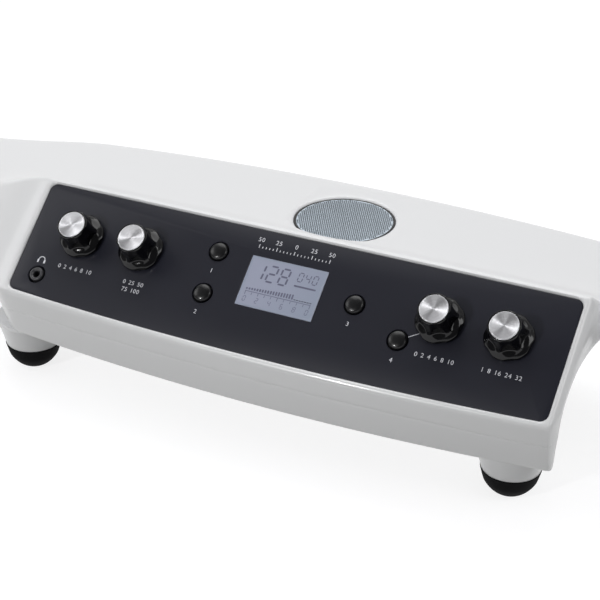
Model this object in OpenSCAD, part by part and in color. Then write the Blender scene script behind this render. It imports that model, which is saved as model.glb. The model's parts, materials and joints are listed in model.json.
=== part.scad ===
// Table-top theremin: a white moulded housing with a sloping black control panel,
// a rod antenna for pitch on its right and a loop antenna for volume on its left.
// Millimetres, +Z up, the player stands at -Y. The origin is the middle of the mouth
// of the stand thread, on the flat underside of the housing.

/* [Console] */
// Width of the control panel, measured along its top edge
panel_w = 286.8; // [284:0.1:288]
// Slope of the control panel, from the horizontal
panel_tilt = 40; // [39:0.5:41]
// Height of the middle of the display above the underside
panel_z = 52; // [51:0.5:53]
// Height of the deck behind the panel, at its middle
deck_h = 57.4; // [56.5:0.1:58.5]
// Place of the back wall behind the stand thread
back_y = 77; // [75:0.5:80]
// How far the underside is drawn back at the console's ends
foot_bow = 9; // [7:0.5:10]
// How far the right flank's foot is drawn in, towards the back
flank_draw = 20; // [15:1:22]

/* [Wings] */
// Half of the housing's overall width
wing_end = 250; // [245:1:255]
// Place of the right-hand flank, where the right wing begins
flank_x = 149.4; // [149.2:0.1:150]
// Where the fuller left shoulder has become the left wing
shoulder_end = 205; // [200:1:210]
// Thickness of the moulded wall
wall = 3.4; // [3.2:0.1:3.8]

/* [Controls] */
// Diameter of a knob's skirt over its corners
skirt_d = 24; // [23:0.5:25]
// Height of a knob above the panel
knob_h = 15.1; // [14.5:0.1:16]
// Diameter of a knob's metal inlay
inlay_d = 14; // [13.5:0.1:14.4]
// Diameter of a button's domed head
button_d = 9.4; // [9:0.1:9.6]
// Travel of a button
button_travel = 0.8; // [0.5:0.1:0.9]
// Turn of the power rocker, end to end, in degrees
rocker_turn = 20; // [16:1:20]

/* [Speaker grille] */
// Diameter of the opening in the deck
grille_d = 53; // [52:0.5:54]
// Rings of holes round the middle one
grille_rings = 6; // [4:1:6]
// Distance from hole to hole
hole_pitch = 3.75; // [3.7:0.01:3.8]
// Diameter of a hole
hole_d = 2.5; // [2:0.1:2.8]

/* [Antennas and stand] */
// Diameter of the antennas' tube
tube_d = 9.5; // [9:0.1:10]
// Height of the pitch antenna's tip above the underside
rod_top = 470; // [440:5:480]
// Radius of the volume loop, at the middle of its tube
loop_r = 55; // [50:1:58]
// Diameter of the thread in the stand insert, across its crests
stand_bore_d = 15; // [14.8:0.1:15.2]

/* [Hidden] */
$fn = 48;
eps = 0.01;

// Colours
shell_white = [0.87, 0.88, 0.89];
panel_black = [0.14, 0.14, 0.17];
gloss_black = [0.03, 0.03, 0.035];
inlay_silver = [0.78, 0.78, 0.8];
display_blue = [0.66, 0.71, 0.8];
board_green = [0.08, 0.3, 0.16];
part_grey = [0.5, 0.52, 0.55];
dark_grey = [0.2, 0.2, 0.21];
chrome = [0.85, 0.86, 0.88];
grille_grey = [0.6, 0.65, 0.72];
rubber_black = [0.02, 0.02, 0.02];
paper_black = [0.1, 0.1, 0.1];

// Control panel: u runs to the right, v up the slope and n out of it
panel_y = -45;
panel_u0 = 0.4;         // the panel sits this far right of the display's middle
panel_v_top = 27.5;
panel_v_side = -33.3;   // the bottom edge at the ends
panel_v_mid = -37.1;    // the bottom edge in the middle
panel_corner = 4;
panel_t = 2;
rim_n = 0.7;            // the moulded rim stands this far proud of the panel
rim_w = 3;
ledge_w = 3.2;          // the panel rests on a ledge this wide
ledge_t = 3;
display_size = [41.1, 26.75];
board_n = -11;          // upper face of the control board
board_t = 1.6;
bush_r = 3.5;
shaft_r = 3;
shaft_gap = 0.06;
nut_r = 5.2;
nut_t = 2;
knob_n = 0.6;           // gap under a knob's skirt
jack_uv = [-130.1, -23];
// name, place on the panel
knobs = [["volume", [-113.4, 2]], ["pitch_correction", [-79, 2.4]],
    ["amount", [81.6, 1.9]], ["presets", [115.7, 1.6]]];
buttons = [["scale", [-38.6, 11]], ["root", [-38.6, -11.9]],
    ["setup", [38.6, 0.2]], ["effect", [64.9, -12]]];
button_hole_d = button_d + 1.1;
switch_top = board_n + 3.5;   // tip of the switch under each button

// Housing sections
crease_z = 17;          // front parting line between the two shells
back_parting_z = 10;
ridge_setback = 3.2;
flank_round = 4.4;      // the right flank's front corner, along x
flank_fillet = 5;       // where that flank opens into the wing
shoulder_start = 143;
arch_z = 25;            // height of the arches under the wings
tip_round = 12;
tip_flat = 0.5;         // share of the section left at the wing's flat tip

// Speaker, in the deck
speaker_y = 28.4;
grille_t = 0.8;
grille_top = deck_h - 0.5;

// Legs: place, and how wide the cone is where it meets the body
leg_floor = -27;
leg_boot = -18;         // top of the rubber foot
leg_r = 13.2;
leg_root_r = 18.5;
legs = [["front_left", [-147, -46]], ["front_right", [122, -46]],
    ["rear_left", [-114, 42]], ["rear_right", [96, 42]]];

// Rear connectors, along x, all at one height
rear_z = 31;
rear_board_top = 19;
rear_drop = rear_z - rear_board_top;
rear_size = [168, 30];
rear_corner = 5;
rear_recess = 2.5;
jack_x = [62, 38, 14];  // left output, right output, pitch voltage
usb_x = -12;
power_x = -36;
switch_x = -62;
jack_bore_r = 3.25;
jack_bush_r = 4.7;
usb_hole = [9.2, 8.6];
inlet_bore_r = 2.85;
rocker_w = 9;
rocker_r = 9.4;
switch_size = [13.8, 22];

// Antennas
wing_mid_y = 33;
rod_x = 222;
rod_foot = 34;
socket_foot = 31;
socket_seat = deck_z(rod_x + 11.2);   // a flat is let into the falling deck for the collar
tube_t = 1;
socket_r = 9;
loop_z = 36;
loop_legs = 14;         // each leg stands this far from the loop's middle line
loop_fillet = 20;
loop_steps = 40;        // steps round the circle
loop_sides = 18;
loop_neck_x = -wing_end - 14;
loop_c = [loop_neck_x - sqrt(pow(loop_r + loop_fillet, 2) - pow(loop_legs + loop_fillet, 2)),
    wing_mid_y];

// The two antennas' sensor boards
sensor_x = 190;
sensor_y = 37;
sensor_z = 31;

// Screws and posts: each screw goes up through the lower half into a post of the upper one
posts = [[-126, 8], [-92, 64], [92, 64], [118, 8]];
post_r = 4.5;
post_joint_z = 20;      // the two halves of a post meet here
screw_r = 1.5;
screw_top = 34;
screw_head_r = 2.9;
screw_head_t = 1.6;
screw_head_z = 1;       // the head sits this deep in the underside

function smooth(t, a, b) = let (q = min(1, max(0, (t - a) / (b - a)))) q * q * (3 - 2 * q);
function mix(a, b, k) = a + (b - a) * k;
function unit(v) = v / max(norm(v), 1e-6);

// A point of the console's sloping face: y and z from v and n
function slope(v, n) = [panel_y + v * cos(panel_tilt) - n * sin(panel_tilt),
    panel_z + v * sin(panel_tilt) + n * cos(panel_tilt)];
function bow(x) = pow(x / (panel_w / 2), 2);
function deck_z(x) = deck_h - 2.6 * pow(x / 124, 2);

// How far the front has turned from console, 0, to wing, 1
function right_blend(x) = x < flank_x - flank_round ? 0
    : x < flank_x ? 0.5 * (1 - sqrt(1 - pow((x - flank_x + flank_round) / flank_round, 2)))
    : x < flank_x + flank_fillet ? 0.5 + 0.5 * sqrt(1 - pow(1 - (x - flank_x) / flank_fillet, 2))
    : 1;
function wing_blend(x) = x > 0 ? right_blend(x) : smooth(-x, shoulder_start, shoulder_end);
function arch(x) = x > 0 ? smooth(x, 128, 147) : smooth(-x, 152, 202);

// The right flank leans in below the deck, more towards the back: its points are moved by this
function draw_in(x, y, z) =
    let (near = smooth(x, 100, 145) * (1 - smooth(x, 165, 230)),
        back = 1 - exp(-max(0, y + 62) / 40), low = 1 - pow(min(1, max(0, z / 50)), 1.5))
    flank_draw * near * back * low;
function placed(x, y, z) = [x - draw_in(x, y, z), y, z];

// Corners of the console's section, front foot first, then up, back and round below:
// each is a place, the length of its rounding along both edges, and a number of points
function console_corners(x) =
    let (b = min(1.2, bow(x)), v_low = mix(panel_v_mid, panel_v_side, min(1, bow(x))) - rim_w)
    [[[-73.5 + foot_bow * b, 0], 3.5, 4],
     [[-76 + 6 * b, crease_z], 5, 3],
     [slope(v_low, rim_n), 2.2, 4],
     [slope(panel_v_top + rim_w, rim_n), ridge_setback, 4],
     [[1, deck_z(x) + 0.6], 10, 4],
     [[back_y - 2.5 * b, deck_z(x)], 11, 5],
     [[back_y - 2.5 * b, back_parting_z], 0, 1],
     [[back_y - 4 - 2.5 * b, 0], 7, 4],
     [[30, 0], 12, 3],
     [[-20, 0], 12, 3]];

// Corners of the wing's section: a rounded blade that tapers to its tip. Beside the right flank
// its front is scooped out below
function wing_corners(x) =
    let (k = smooth(abs(x), 150, wing_end), scoop = x > 0 ? 1 - smooth(x, 156, 178) : 0,
        front = mix(-17, 4, k) + 5 * scoop, back = mix(back_y - 2, 62, k),
        top = deck_z(x), low = mix(arch_z, 22, k))
    [[[front + 14 + 24 * scoop, mix(top, low, 0.62)], 5, 4],
     [[front + 3 + 19 * scoop, mix(top, low, 0.38)], 4, 3],
     [[front, mix(top, low, 0.2)], 2.5, 4],
     [[front + 6, top - 0.8], 4, 4],
     [[front + 26, top], 8, 4],
     [[back, top - 1], 10, 5],
     [[back, mix(low, top, 0.25)], 0, 1],
     [[back - 5, low], 5, 4],
     [[30 + 12 * scoop, low], 8, 3],
     [[front + 17 + 24 * scoop, mix(low, top, 0.12)], 6, 3]];

// The two back corners and the belly rise ahead of the rest, which forms the arches
function rise(corners, x) =
    let (a = arch(x))
    [for (i = [0:9]) let (c = corners[i])
        i < 6 || i == 9 ? c
        : i == 6 ? [[c[0].x, mix(c[0].y, arch_z + 5, a)], c[1], c[2]]
        : [[c[0].x, mix(c[0].y, arch_z, a)], c[1], c[2]]];

function corners_at(x) =
    let (w = wing_blend(x), c = rise(console_corners(x), x), d = rise(wing_corners(x), x))
    [for (i = [0:9]) [mix(c[i][0], d[i][0], w), mix(c[i][1], d[i][1], w), c[i][2]]];

// A corner rounded by a quadratic curve between the two edges that it joins
function rounded(before, here, after, reach, count) =
    let (a = min(reach, 0.45 * norm(before - here)), b = min(reach, 0.45 * norm(after - here)),
        p = here + a * unit(before - here), q = here + b * unit(after - here))
    count == 1 ? [here]
    : [for (i = [0:count - 1]) let (t = i / (count - 1))
        (1 - t) * (1 - t) * p + 2 * t * (1 - t) * here + t * t * q];

function outline_at(x) =
    let (c = corners_at(x), n = len(c))
    [for (i = [0:n - 1])
        each rounded(c[(i + n - 1) % n][0], c[i][0], c[(i + 1) % n][0], c[i][1], c[i][2])];

// The wing's end closes over its last few millimetres
function tip_share(x) =
    let (t = (abs(x) - wing_end + tip_round) / tip_round)
    t <= 0 ? 1 : max(tip_flat, sqrt(max(0, 1 - t * t)));
function middle(points) =
    let (ys = [for (p = points) p.x], zs = [for (p = points) p.y])
    [[(min(ys) + max(ys)) / 2, (min(zs) + max(zs)) / 2],
     [(max(ys) - min(ys)) / 2, (max(zs) - min(zs)) / 2]];
function outer_row(x) =
    let (o = outline_at(x), m = middle(o)[0], s = tip_share(x))
    [for (p = o) let (q = m + (p - m) * s) placed(x, q.x, q.y)];

// The inner surface: each section drawn in by the wall, and moved towards the middle by it
function inner_row(x) =
    let (row = outer_row(x), flat = [for (p = row) [p.y, p.z]], m = middle(flat),
        sy = 1 - wall / m[1].x, sz = 1 - wall / m[1].y,
        inner_x = x - sign(x) * wall * smooth(abs(x), 0, 40))
    [for (p = flat) placed(inner_x, m[0].x + (p.x - m[0].x) * sy, m[0].y + (p.y - m[0].y) * sz)];

// Sections lie close together where the outline turns fast
half_console = [for (i = [1:6]) i * 144 / 6];
flank_rows = [for (a = [10:16:90]) flank_x - flank_round * (1 - sin(a))];
fillet_rows = [for (a = [25, 45, 65, 90]) flank_x + flank_fillet * (1 - cos(a))];
wing_start = flank_x + flank_fillet;
wing_rows = [for (i = [1:6]) wing_start + i * (wing_end - tip_round - wing_start) / 6];
tip_rows = [for (a = [30, 50, 68, 90]) wing_end - tip_round * (1 - sin(a))];
shoulder_rows = [for (i = [1:9])
    144 + i * (shoulder_end - 144) / 9];
left_wing_rows = [for (i = [1:3]) shoulder_end + i * (wing_end - tip_round - shoulder_end) / 3];
right_half = concat(half_console, flank_rows, fillet_rows, wing_rows, tip_rows);
left_half = concat(half_console, shoulder_rows, left_wing_rows, tip_rows);
rows = concat([for (i = [len(left_half) - 1:-1:0]) -left_half[i]], [0], right_half);

front_parting = 5;      // place of the two parting points in a section's list
back_parting = 24;
section_points = 35;
top_part = [for (j = [front_parting:back_parting]) j];
bottom_part = [for (j = [back_parting:section_points + front_parting]) j % section_points];

// An open shell between an outer and an inner grid of points, closed by its rims. Where two
// such shells meet, one of them is mated, so that their end strips are cut the same way
module grid_shell(outer, inner, mated) {
    n = len(outer);
    m = len(outer[0]);
    size = n * m;
    walls = [for (i = [0:n - 2], j = [0:m - 2])
        let (a = i * m + j, b = a + m, c = b + 1, d = a + 1)
        each [[a, d, c], [a, c, b], [a + size, c + size, d + size], [a + size, b + size, c + size]]];
    rims = [for (i = [0:n - 2])
        let (a = i * m, b = a + m, d = a + m - 1, c = d + m)
        each [[a, b, b + size], [a, b + size, a + size], [c, d, c + size], [d, d + size, c + size]]];
    last = size - m;
    end = m - 1;
    ends = [[for (j = [end:-1:0]) j], [for (j = [0:end]) size + j],
        [for (j = [0:end]) last + j], [for (j = [end:-1:0]) last + size + j],
        [end, 0, mated ? size + end : size], [mated ? 0 : end, size, size + end],
        [last, last + end, mated ? last + size : last + end + size],
        [mated ? last + end : last, last + end + size, last + size]];
    points = concat([for (r = outer) each r], [for (r = inner) each r]);
    polyhedron(points = points, faces = concat(walls, rims, ends), convexity = 8);
}

module housing_part(part, mated = false) {
    outer = [for (x = rows) let (r = outer_row(x)) [for (j = part) r[j]]];
    inner = [for (x = rows) let (r = inner_row(x)) [for (j = part) r[j]]];
    grid_shell(outer, inner, mated);
}

module on_panel(uv = [0, 0], n = 0) {
    translate([0, panel_y, panel_z]) rotate([panel_tilt, 0, 0])
        translate([uv.x, uv.y, n]) children();
}

module disc(r, low, high) {
    translate([0, 0, low]) cylinder(r = r, h = high - low);
}

module ring(outer, inner, low, high) {
    difference() {
        disc(outer, low, high);
        disc(inner, low - 1, high + 1);
    }
}

module block(size, low) {
    translate([-size.x / 2, -size.y / 2, low]) cube(size);
}

// Outline of the control panel: straight top and sides, a bowed bottom edge, round corners
function arc(c, r, from, to, step) = [for (a = [from:step:to]) c + r * [cos(a), sin(a)]];
function panel_outline(grow = 0) =
    let (hw = panel_w / 2 + grow, r = panel_corner + grow, top = panel_v_top + grow,
        side = panel_v_side - grow, sag = panel_v_side - panel_v_mid)
    concat(arc([hw - r, top - r], r, 0, 90, 15), arc([r - hw, top - r], r, 90, 180, 15),
        arc([r - hw, side + r], r, 180, 270, 15),
        [for (i = [1:15]) let (u = (hw - r) * (i / 8 - 1))
            [u, side - sag * (1 - pow(u / (hw - r), 2))]],
        arc([hw - r, side + r], r, 270, 360, 15));

module panel_plate(grow, low, high) {
    translate([panel_u0, 0, low]) linear_extrude(high - low) polygon(panel_outline(grow));
}

module rounded_slab(size, r, h) {
    linear_extrude(h) {
        square([size.x - 2 * r, size.y], center = true);
        square([size.x, size.y - 2 * r], center = true);
        for (sx = [-1, 1], sy = [-1, 1])
            translate([sx * (size.x / 2 - r), sy * (size.y / 2 - r)]) circle(r);
    }
}

// Things on the back wall: their own z points backwards, out of the housing
module on_back(x, y = back_y) {
    translate([x, y, rear_z]) rotate([-90, 0, 0]) children();
}

module top_shell() {
    color(shell_white)
        difference() {
            union() {
                housing_part(top_part);
                on_panel() difference() {
                    panel_plate(1.6, -panel_t - ledge_t, -0.6);
                    panel_plate(-ledge_w, -panel_t - ledge_t - 1, 1);
                }
                translate([0, speaker_y, 0]) ring(grille_d / 2 + 3, grille_d / 2, 50, deck_h - 1);
                translate([0, back_y - 5, rear_z]) rotate([-90, 0, 0])
                    rounded_slab([rear_size.x + 4, rear_size.y + 4], rear_corner + 2, 4.2);
                for (p = posts)
                    translate([p.x, p.y, 0]) disc(post_r, post_joint_z, deck_z(p.x) - 1.2);
            }
            on_panel() panel_plate(0.15, -panel_t, 6);
            on_panel() panel_plate(-ledge_w, -20, 1);
            translate([0, speaker_y, 0]) disc(grille_d / 2, 40, 70);
            translate([0, back_y - rear_recess, rear_z]) rotate([-90, 0, 0])
                rounded_slab(rear_size, rear_corner, 10);
            translate([0, back_y - 12, rear_z]) rotate([-90, 0, 0])
                rounded_slab([rear_size.x - 6, rear_size.y - 6], rear_corner - 2, 20);
            for (p = posts)
                translate([p.x, p.y, 0]) disc(screw_r, post_joint_z - 1, screw_top + 2);
            translate([rod_x, wing_mid_y, 0]) {
                disc(socket_r, 30, 70);
                disc(socket_r + 2.3, socket_seat, 70);
            }
            loop_holes();
        }
}

// The holes that the loop's two legs go through, into the left wing
module loop_holes() {
    for (s = [-1, 1])
        translate([-wing_end - 1, wing_mid_y + s * loop_legs, loop_z]) rotate([0, 90, 0])
            disc(tube_d / 2 + 0.05, 0, 30);
}

module bottom_shell() {
    color(shell_white)
        difference() {
            union() {
                housing_part(bottom_part, mated = true);
                for (leg = legs)
                    translate([leg[1].x, leg[1].y, leg_boot])
                        cylinder(r1 = leg_r, r2 = leg_root_r, h = 2 - leg_boot);
                disc(15, 1, 20);
                for (p = posts)
                    translate([p.x, p.y, 0]) disc(post_r, screw_head_z, post_joint_z);
            }
            disc(11, -1, 30);
            for (p = posts) {
                translate([p.x, p.y, 0]) disc(screw_r + 0.15, -2, post_joint_z + 1);
                translate([p.x, p.y, 0]) disc(screw_head_r + 0.2, -2, screw_head_z + screw_head_t);
            }
            for (leg = legs)
                translate([leg[1].x, leg[1].y, 0]) disc(4, leg_boot - 1, -6);
            loop_holes();
        }
}

module control_panel() {
    color(panel_black)
        on_panel() difference() {
            panel_plate(0, -panel_t, 0);
            block([display_size.x, display_size.y, 8], -4);
            for (k = knobs)
                translate(k[1]) disc(bush_r + 0.1, -4, 1);
            for (b = buttons)
                translate(b[1]) disc(button_hole_d / 2, -4, 1);
            translate(jack_uv) disc(4.6, -4, 1);
        }
}

module display_window() {
    color(display_blue)
        on_panel() block([display_size.x - 0.1, display_size.y - 0.1, 1.2], -1.25);
}

module display_module() {
    color(part_grey)
        on_panel() difference() {
            union() {
                block([display_size.x - 0.6, display_size.y - 0.6, 1], -2.25 - eps);
                block([50, 36, 3.2], -5.45);
                block([54, 40, board_t], -5.45 - board_t);
            }
            for (sx = [-1, 1], sy = [-1, 1])
                translate([sx * 24.5, sy * 17.5]) disc(1.3, -9, -5.4);
        }
}

// A 3.5 mm jack: threaded bush through the panel, body on the control board
module headphone_jack() {
    color(dark_grey)
        on_panel(jack_uv) difference() {
            union() {
                disc(3.65, -4, 0.9);
                block([9, 9, -board_n - 4], board_n);
            }
            disc(1.8, -9.5, 2);
            translate([0, 0, 0.2]) cylinder(r1 = 1.8, r2 = 2.6, h = 0.71);
        }
}

module control_board() {
    color(board_green)
        on_panel() difference() {
            block([268, 50, board_t], board_n - board_t);
            for (k = knobs)
                translate(k[1]) disc(shaft_r + 0.5, board_n - 4, board_n + 1);
        }
}

// The fixed part of a potentiometer or encoder
module pot(uv) {
    color(part_grey)
        on_panel(uv) difference() {
            union() {
                disc(6.2, board_n, -panel_t - 1.5);
                block([13, 11, -board_n - 5], board_n);
                disc(bush_r, -panel_t - 1.6, 4);
                disc(5.6, -panel_t - 1.6, -panel_t);
            }
            disc(shaft_r + shaft_gap, board_n - 1, 5);
        }
}

module pot_nuts() {
    color(chrome)
        for (k = knobs)
            on_panel(k[1]) difference() {
                cylinder(r = nut_r, h = nut_t, $fn = 6);
                disc(bush_r, -1, nut_t + 1);
            }
}

module button_switches() {
    color(part_grey)
        for (b = buttons)
            on_panel(b[1]) {
                block([6, 6, 2.9], board_n);
                disc(1.7, board_n + 2.8, switch_top);
            }
}

// A knob: flared skirt and fluted body, with a metal inlay let into its top
corner_turn = 20;
flutes = 6;
module knob(uv) {
    r = skirt_d / 2;
    color(gloss_black)
        on_panel(uv) difference() {
            rotate_extrude()
                polygon([[0, knob_n], [r - 0.5, knob_n], [r, knob_n + 0.5], [r, 2], [r - 0.9, 2.9],
                    [r - 2.2, 3.9], [r - 3, 5.4], [r - 3.4, 7.6], [r - 3.7, 11], [r - 3.9, 14.2],
                    [r - 4.3, knob_h], [0, knob_h]]);
            for (i = [0:flutes - 1])
                rotate(corner_turn + (i + 0.5) * 360 / flutes) {
                    translate([r + 12.4, 0, 0]) disc(14, -1, knob_h + 1);
                    translate([r + 4.5, 0, 0]) disc(9, 3.4, knob_h + 1);
                }
            disc(inlay_d / 2 + 0.02, knob_h - 0.7, knob_h + 1);
            disc(7, 0, 4.6);
            disc(shaft_r, 0, knob_h - 2.4);
        }
}

module knob_inlay(uv) {
    color(inlay_silver)
        on_panel(uv) rotate_extrude()
            polygon([[0, knob_h - 0.7], [inlay_d / 2, knob_h - 0.7], [inlay_d / 2, knob_h - 0.2],
                [inlay_d / 2 - 0.3, knob_h], [0, knob_h - 0.15]]);
}

module shaft(uv) {
    color(chrome)
        on_panel(uv) disc(shaft_r, board_n + 2, knob_h - 2.5);
}

// A button: domed head, guide skirt and a retaining flange under the panel
module button(uv) {
    r = button_d / 2;
    stem = switch_top + button_travel + 0.3;
    flange = -panel_t - 0.15;
    color(gloss_black)
        on_panel(uv) rotate_extrude()
            polygon(concat([[0, stem], [r - 1, stem], [r - 1, flange - 1.25], [6.2, flange - 1.25],
                [6.2, flange], [r, flange], [r, 0.4]],
                [for (a = [15:15:75]) [r - 1.1 + 1.1 * cos(a), 0.4 + 0.8 * sin(a)]],
                [for (k = [1, 0.66, 0.33, 0]) [(r - 1.1) * k, 1.8 - 0.6 * k * k]]));
}

module speaker_grille() {
    color(grille_grey)
        translate([0, speaker_y, grille_top - grille_t]) linear_extrude(grille_t)
            difference() {
                circle(grille_d / 2 - 1.1, $fn = 96);
                for (i = [-grille_rings:grille_rings], j = [-grille_rings:grille_rings])
                    if (abs(i + j) <= grille_rings)
                        translate([hole_pitch * (i + j / 2), hole_pitch * j * sqrt(3) / 2])
                            circle(hole_d / 2, $fn = 16);
            }
}

// The black ring that carries the grille and clamps the loudspeaker
module speaker_ring() {
    color(gloss_black)
        translate([0, speaker_y, 0])
            ring(grille_d / 2 - 0.05, grille_d / 2 - 3.2, 50, grille_top - grille_t);
}

module speaker_frame() {
    color(dark_grey)
        translate([0, speaker_y, 0]) rotate_extrude()
            polygon([[25.6, 50], [25.6, 48.2], [23.4, 48.2], [14, 36], [14, 32], [12, 32], [12, 36.6],
                [19.8, 48.2], [21.9, 48.2], [21.9, 50]]);
}

module speaker_cone() {
    color(paper_black)
        translate([0, speaker_y, 0]) rotate_extrude()
            polygon([[0, 41.4], [4, 41], [6.5, 38.6], [18, 48], [19.6, 49.2], [21.2, 48.7], [21.85, 48.7],
                [21.85, 48.2], [19.6, 48.2], [6.7, 37.6], [0, 37.6]]);
}

module speaker_magnet() {
    color(part_grey)
        translate([0, speaker_y, 0]) {
            disc(15, 24, 32);
            disc(5.8, 31.9, 37.5);
        }
}

module board_holes(points, r) {
    for (p = points)
        translate(p) circle(r);
}

main_holes = [[-88, -38], [88, -38], [-88, 12], [88, 12]];
main_z = 9;
module main_board() {
    color(board_green)
        translate([0, 0, main_z]) linear_extrude(board_t) difference() {
            translate([-95, -45]) square([190, 64]);
            circle(16);
            board_holes(main_holes, 1.6);
        }
}

module board_standoffs() {
    color(chrome)
        for (p = main_holes)
            translate([p.x, p.y, 0]) disc(3, wall, main_z);
        for (s = [-1, 1], dx = [-9, 9])
            translate([s * sensor_x + dx, sensor_y + 8, 0]) disc(2.5, arch_z + wall, sensor_z);
}

module rear_panel() {
    color(panel_black)
        difference() {
            translate([0, back_y - rear_recess, rear_z]) rotate([-90, 0, 0])
                rounded_slab([rear_size.x - 0.2, rear_size.y - 0.2], rear_corner, 1.8);
            for (x = jack_x)
                on_back(x) disc(jack_bush_r + 0.05, -9, 9);
            on_back(power_x) disc(4.2, -9, 9);
            on_back(usb_x) block([12.2, 11.2, 18], -9);
            on_back(switch_x) block([switch_size.x + 0.2, switch_size.y + 0.2, 18], -9);
        }
}

module rear_board() {
    color(board_green)
        translate([0, 0, rear_board_top - board_t]) linear_extrude(board_t) difference() {
            translate([-80, 42]) square([160, 28]);
            board_holes([[-74, 46], [74, 46]], 1.6);
        }
}

// A 6.35 mm jack: bush through the rear panel, moulded body on the rear board
module line_jack(x) {
    color(dark_grey)
        on_back(x) difference() {
            union() {
                disc(jack_bush_r, -rear_recess - 2, 2.4);
                translate([-7.5, -7.5, -27]) cube([15, 7.5 + rear_drop, 27 - rear_recess]);
            }
            disc(jack_bore_r, -24, 3);
        }
}

module jack_nuts() {
    color(chrome)
        for (x = jack_x)
            on_back(x) difference() {
                translate([0, 0, 1.8 - rear_recess]) cylinder(r = 7, h = 1.8, $fn = 6);
                disc(jack_bush_r, -5, 5);
            }
}

module usb_socket() {
    color(part_grey)
        on_back(usb_x) difference() {
            union() {
                translate([-6, -5.5, -18]) cube([12, 11, 18.4]);
                translate([-6, 5, -18]) cube([12, rear_drop - 5, 15]);
            }
            block([usb_hole.x, usb_hole.y, 20], -14);
        }
}

module power_inlet() {
    color(gloss_black)
        on_back(power_x) difference() {
            union() {
                disc(4.1, -rear_recess - 2, 0);
                translate([-5, -5, -15]) cube([10, 5 + rear_drop, 15 - rear_recess]);
            }
            disc(inlet_bore_r, -12, 3);
        }
}

// The rocker's housing: a cylinder is cut from it, which the rocker turns in
rocker_pivot = -4;
module power_switch_body() {
    color(gloss_black)
        on_back(switch_x) difference() {
            union() {
                block([switch_size.x, switch_size.y, 11.3], -12);
                block([switch_size.x + 2.6, switch_size.y + 2.6, 1], 1.8 - rear_recess);
                translate([-6.5, 8, -12]) cube([13, rear_drop - 8, 9]);
            }
            translate([0, 0, rocker_pivot]) rotate([0, 90, 0])
                translate([0, 0, -rocker_w / 2 - 0.4]) cylinder(r = rocker_r + 0.35, h = rocker_w + 0.8);
            translate([0, 0, rocker_pivot]) rotate([0, 90, 0])
                translate([0, 0, -6.6]) cylinder(r = 1.56, h = 13.2);
        }
}

// The rocker: two faces that meet in a shallow valley, on a pin along x
module power_rocker() {
    valley = 4.6;
    edge = valley + 12 * tan(rocker_turn / 2);
    color(gloss_black)
        on_back(switch_x, back_y + rocker_pivot) rotate([rocker_turn / 2, 0, 0]) rotate([0, 90, 0]) {
            translate([0, 0, -rocker_w / 2]) linear_extrude(rocker_w) intersection() {
                circle(rocker_r, $fn = 96);
                polygon([[-edge, 12], [-valley, 0], [-edge, -12], [2, -5], [2, 5]]);
            }
            translate([0, 0, -6.4]) cylinder(r = 1.5, h = 12.8);
        }
}

module stand_insert() {
    color(chrome)
        ring(10.95, stand_bore_d / 2, 0, 18);
}

module foot(xy) {
    r = leg_r;
    color(rubber_black)
        translate([xy.x, xy.y, 0]) {
            rotate_extrude()
                polygon([[0, leg_boot], [r, leg_boot], [r - 0.5, leg_boot - 2], [r - 1.7, leg_boot - 4.4],
                    [r - 3.6, leg_boot - 6.6], [r - 5.6, leg_boot - 8.2], [r - 7.2, leg_floor],
                    [0, leg_floor]]);
            disc(3.95, leg_boot - 1, -7);
        }
}

module housing_screws() {
    color(dark_grey)
        for (p = posts)
            translate([p.x, p.y, 0]) {
                disc(screw_r, screw_head_z + 1, screw_top);
                disc(screw_head_r, screw_head_z, screw_head_z + screw_head_t);
            }
}

module pitch_antenna() {
    r = tube_d / 2;
    color(chrome)
        translate([rod_x, wing_mid_y, 0]) rotate_extrude()
            polygon(concat([[r - tube_t, rod_foot], [r, rod_foot], [r, rod_top - r]],
                [for (a = [15:15:75]) [r * cos(a), rod_top - r + r * sin(a)]],
                [[0, rod_top], [0, rod_top - r], [r - tube_t, rod_top - r]]));
}

module pitch_antenna_socket() {
    color(dark_grey)
        translate([rod_x, wing_mid_y, 0]) difference() {
            union() {
                disc(socket_r - 0.05, socket_foot, socket_seat + 0.1);
                translate([0, 0, socket_seat]) rotate_extrude()
                    polygon([[0, 0], [socket_r + 2.2, 0], [socket_r + 2, 1.8], [socket_r, 3.1], [0, 3.1]]);
            }
            disc(tube_d / 2 + 0.02, rod_foot, 80);
        }
}

// The volume loop's middle line, as [x, y, heading]: in along one leg, out round a fillet,
// round most of a circle and back the same way
function loop_line() =
    let (start = -wing_end + 26, side = loop_legs + loop_fillet, turn = atan2(side, loop_neck_x - loop_c.x))
    concat([[start, loop_legs, 180]],
        [for (i = [0:8]) let (a = mix(270, 180 + turn, i / 8))
            [loop_neck_x + loop_fillet * cos(a), side + loop_fillet * sin(a), a - 90]],
        [for (i = [1:loop_steps - 1]) let (a = mix(turn, 360 - turn, i / loop_steps))
            [loop_c.x + loop_r * cos(a), loop_r * sin(a), a + 90]],
        [for (i = [8:-1:0]) let (a = mix(90, 180 - turn, i / 8))
            [loop_neck_x + loop_fillet * cos(a), loop_fillet * sin(a) - side, a - 90]],
        [[start, -loop_legs, 0]]);

module volume_loop() {
    line = loop_line();
    n = len(line);
    m = loop_sides;
    points = [for (p = line, k = [0:m - 1]) let (a = 360 * (k + 0.5) / m, r = tube_d / 2)
        [p.x - r * cos(a) * sin(p.z), p.y + r * cos(a) * cos(p.z), r * sin(a)]];
    sides = [for (i = [0:n - 2], k = [0:m - 1])
        let (a = i * m + k, b = i * m + (k + 1) % m)
        each [[a, b + m, b], [a, a + m, b + m]]];
    caps = [[for (k = [0:m - 1]) k], [for (k = [m - 1:-1:0]) (n - 1) * m + k]];
    color(chrome)
        translate([0, wing_mid_y, loop_z]) polyhedron(points = points, faces = concat(sides, caps));
}

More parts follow.
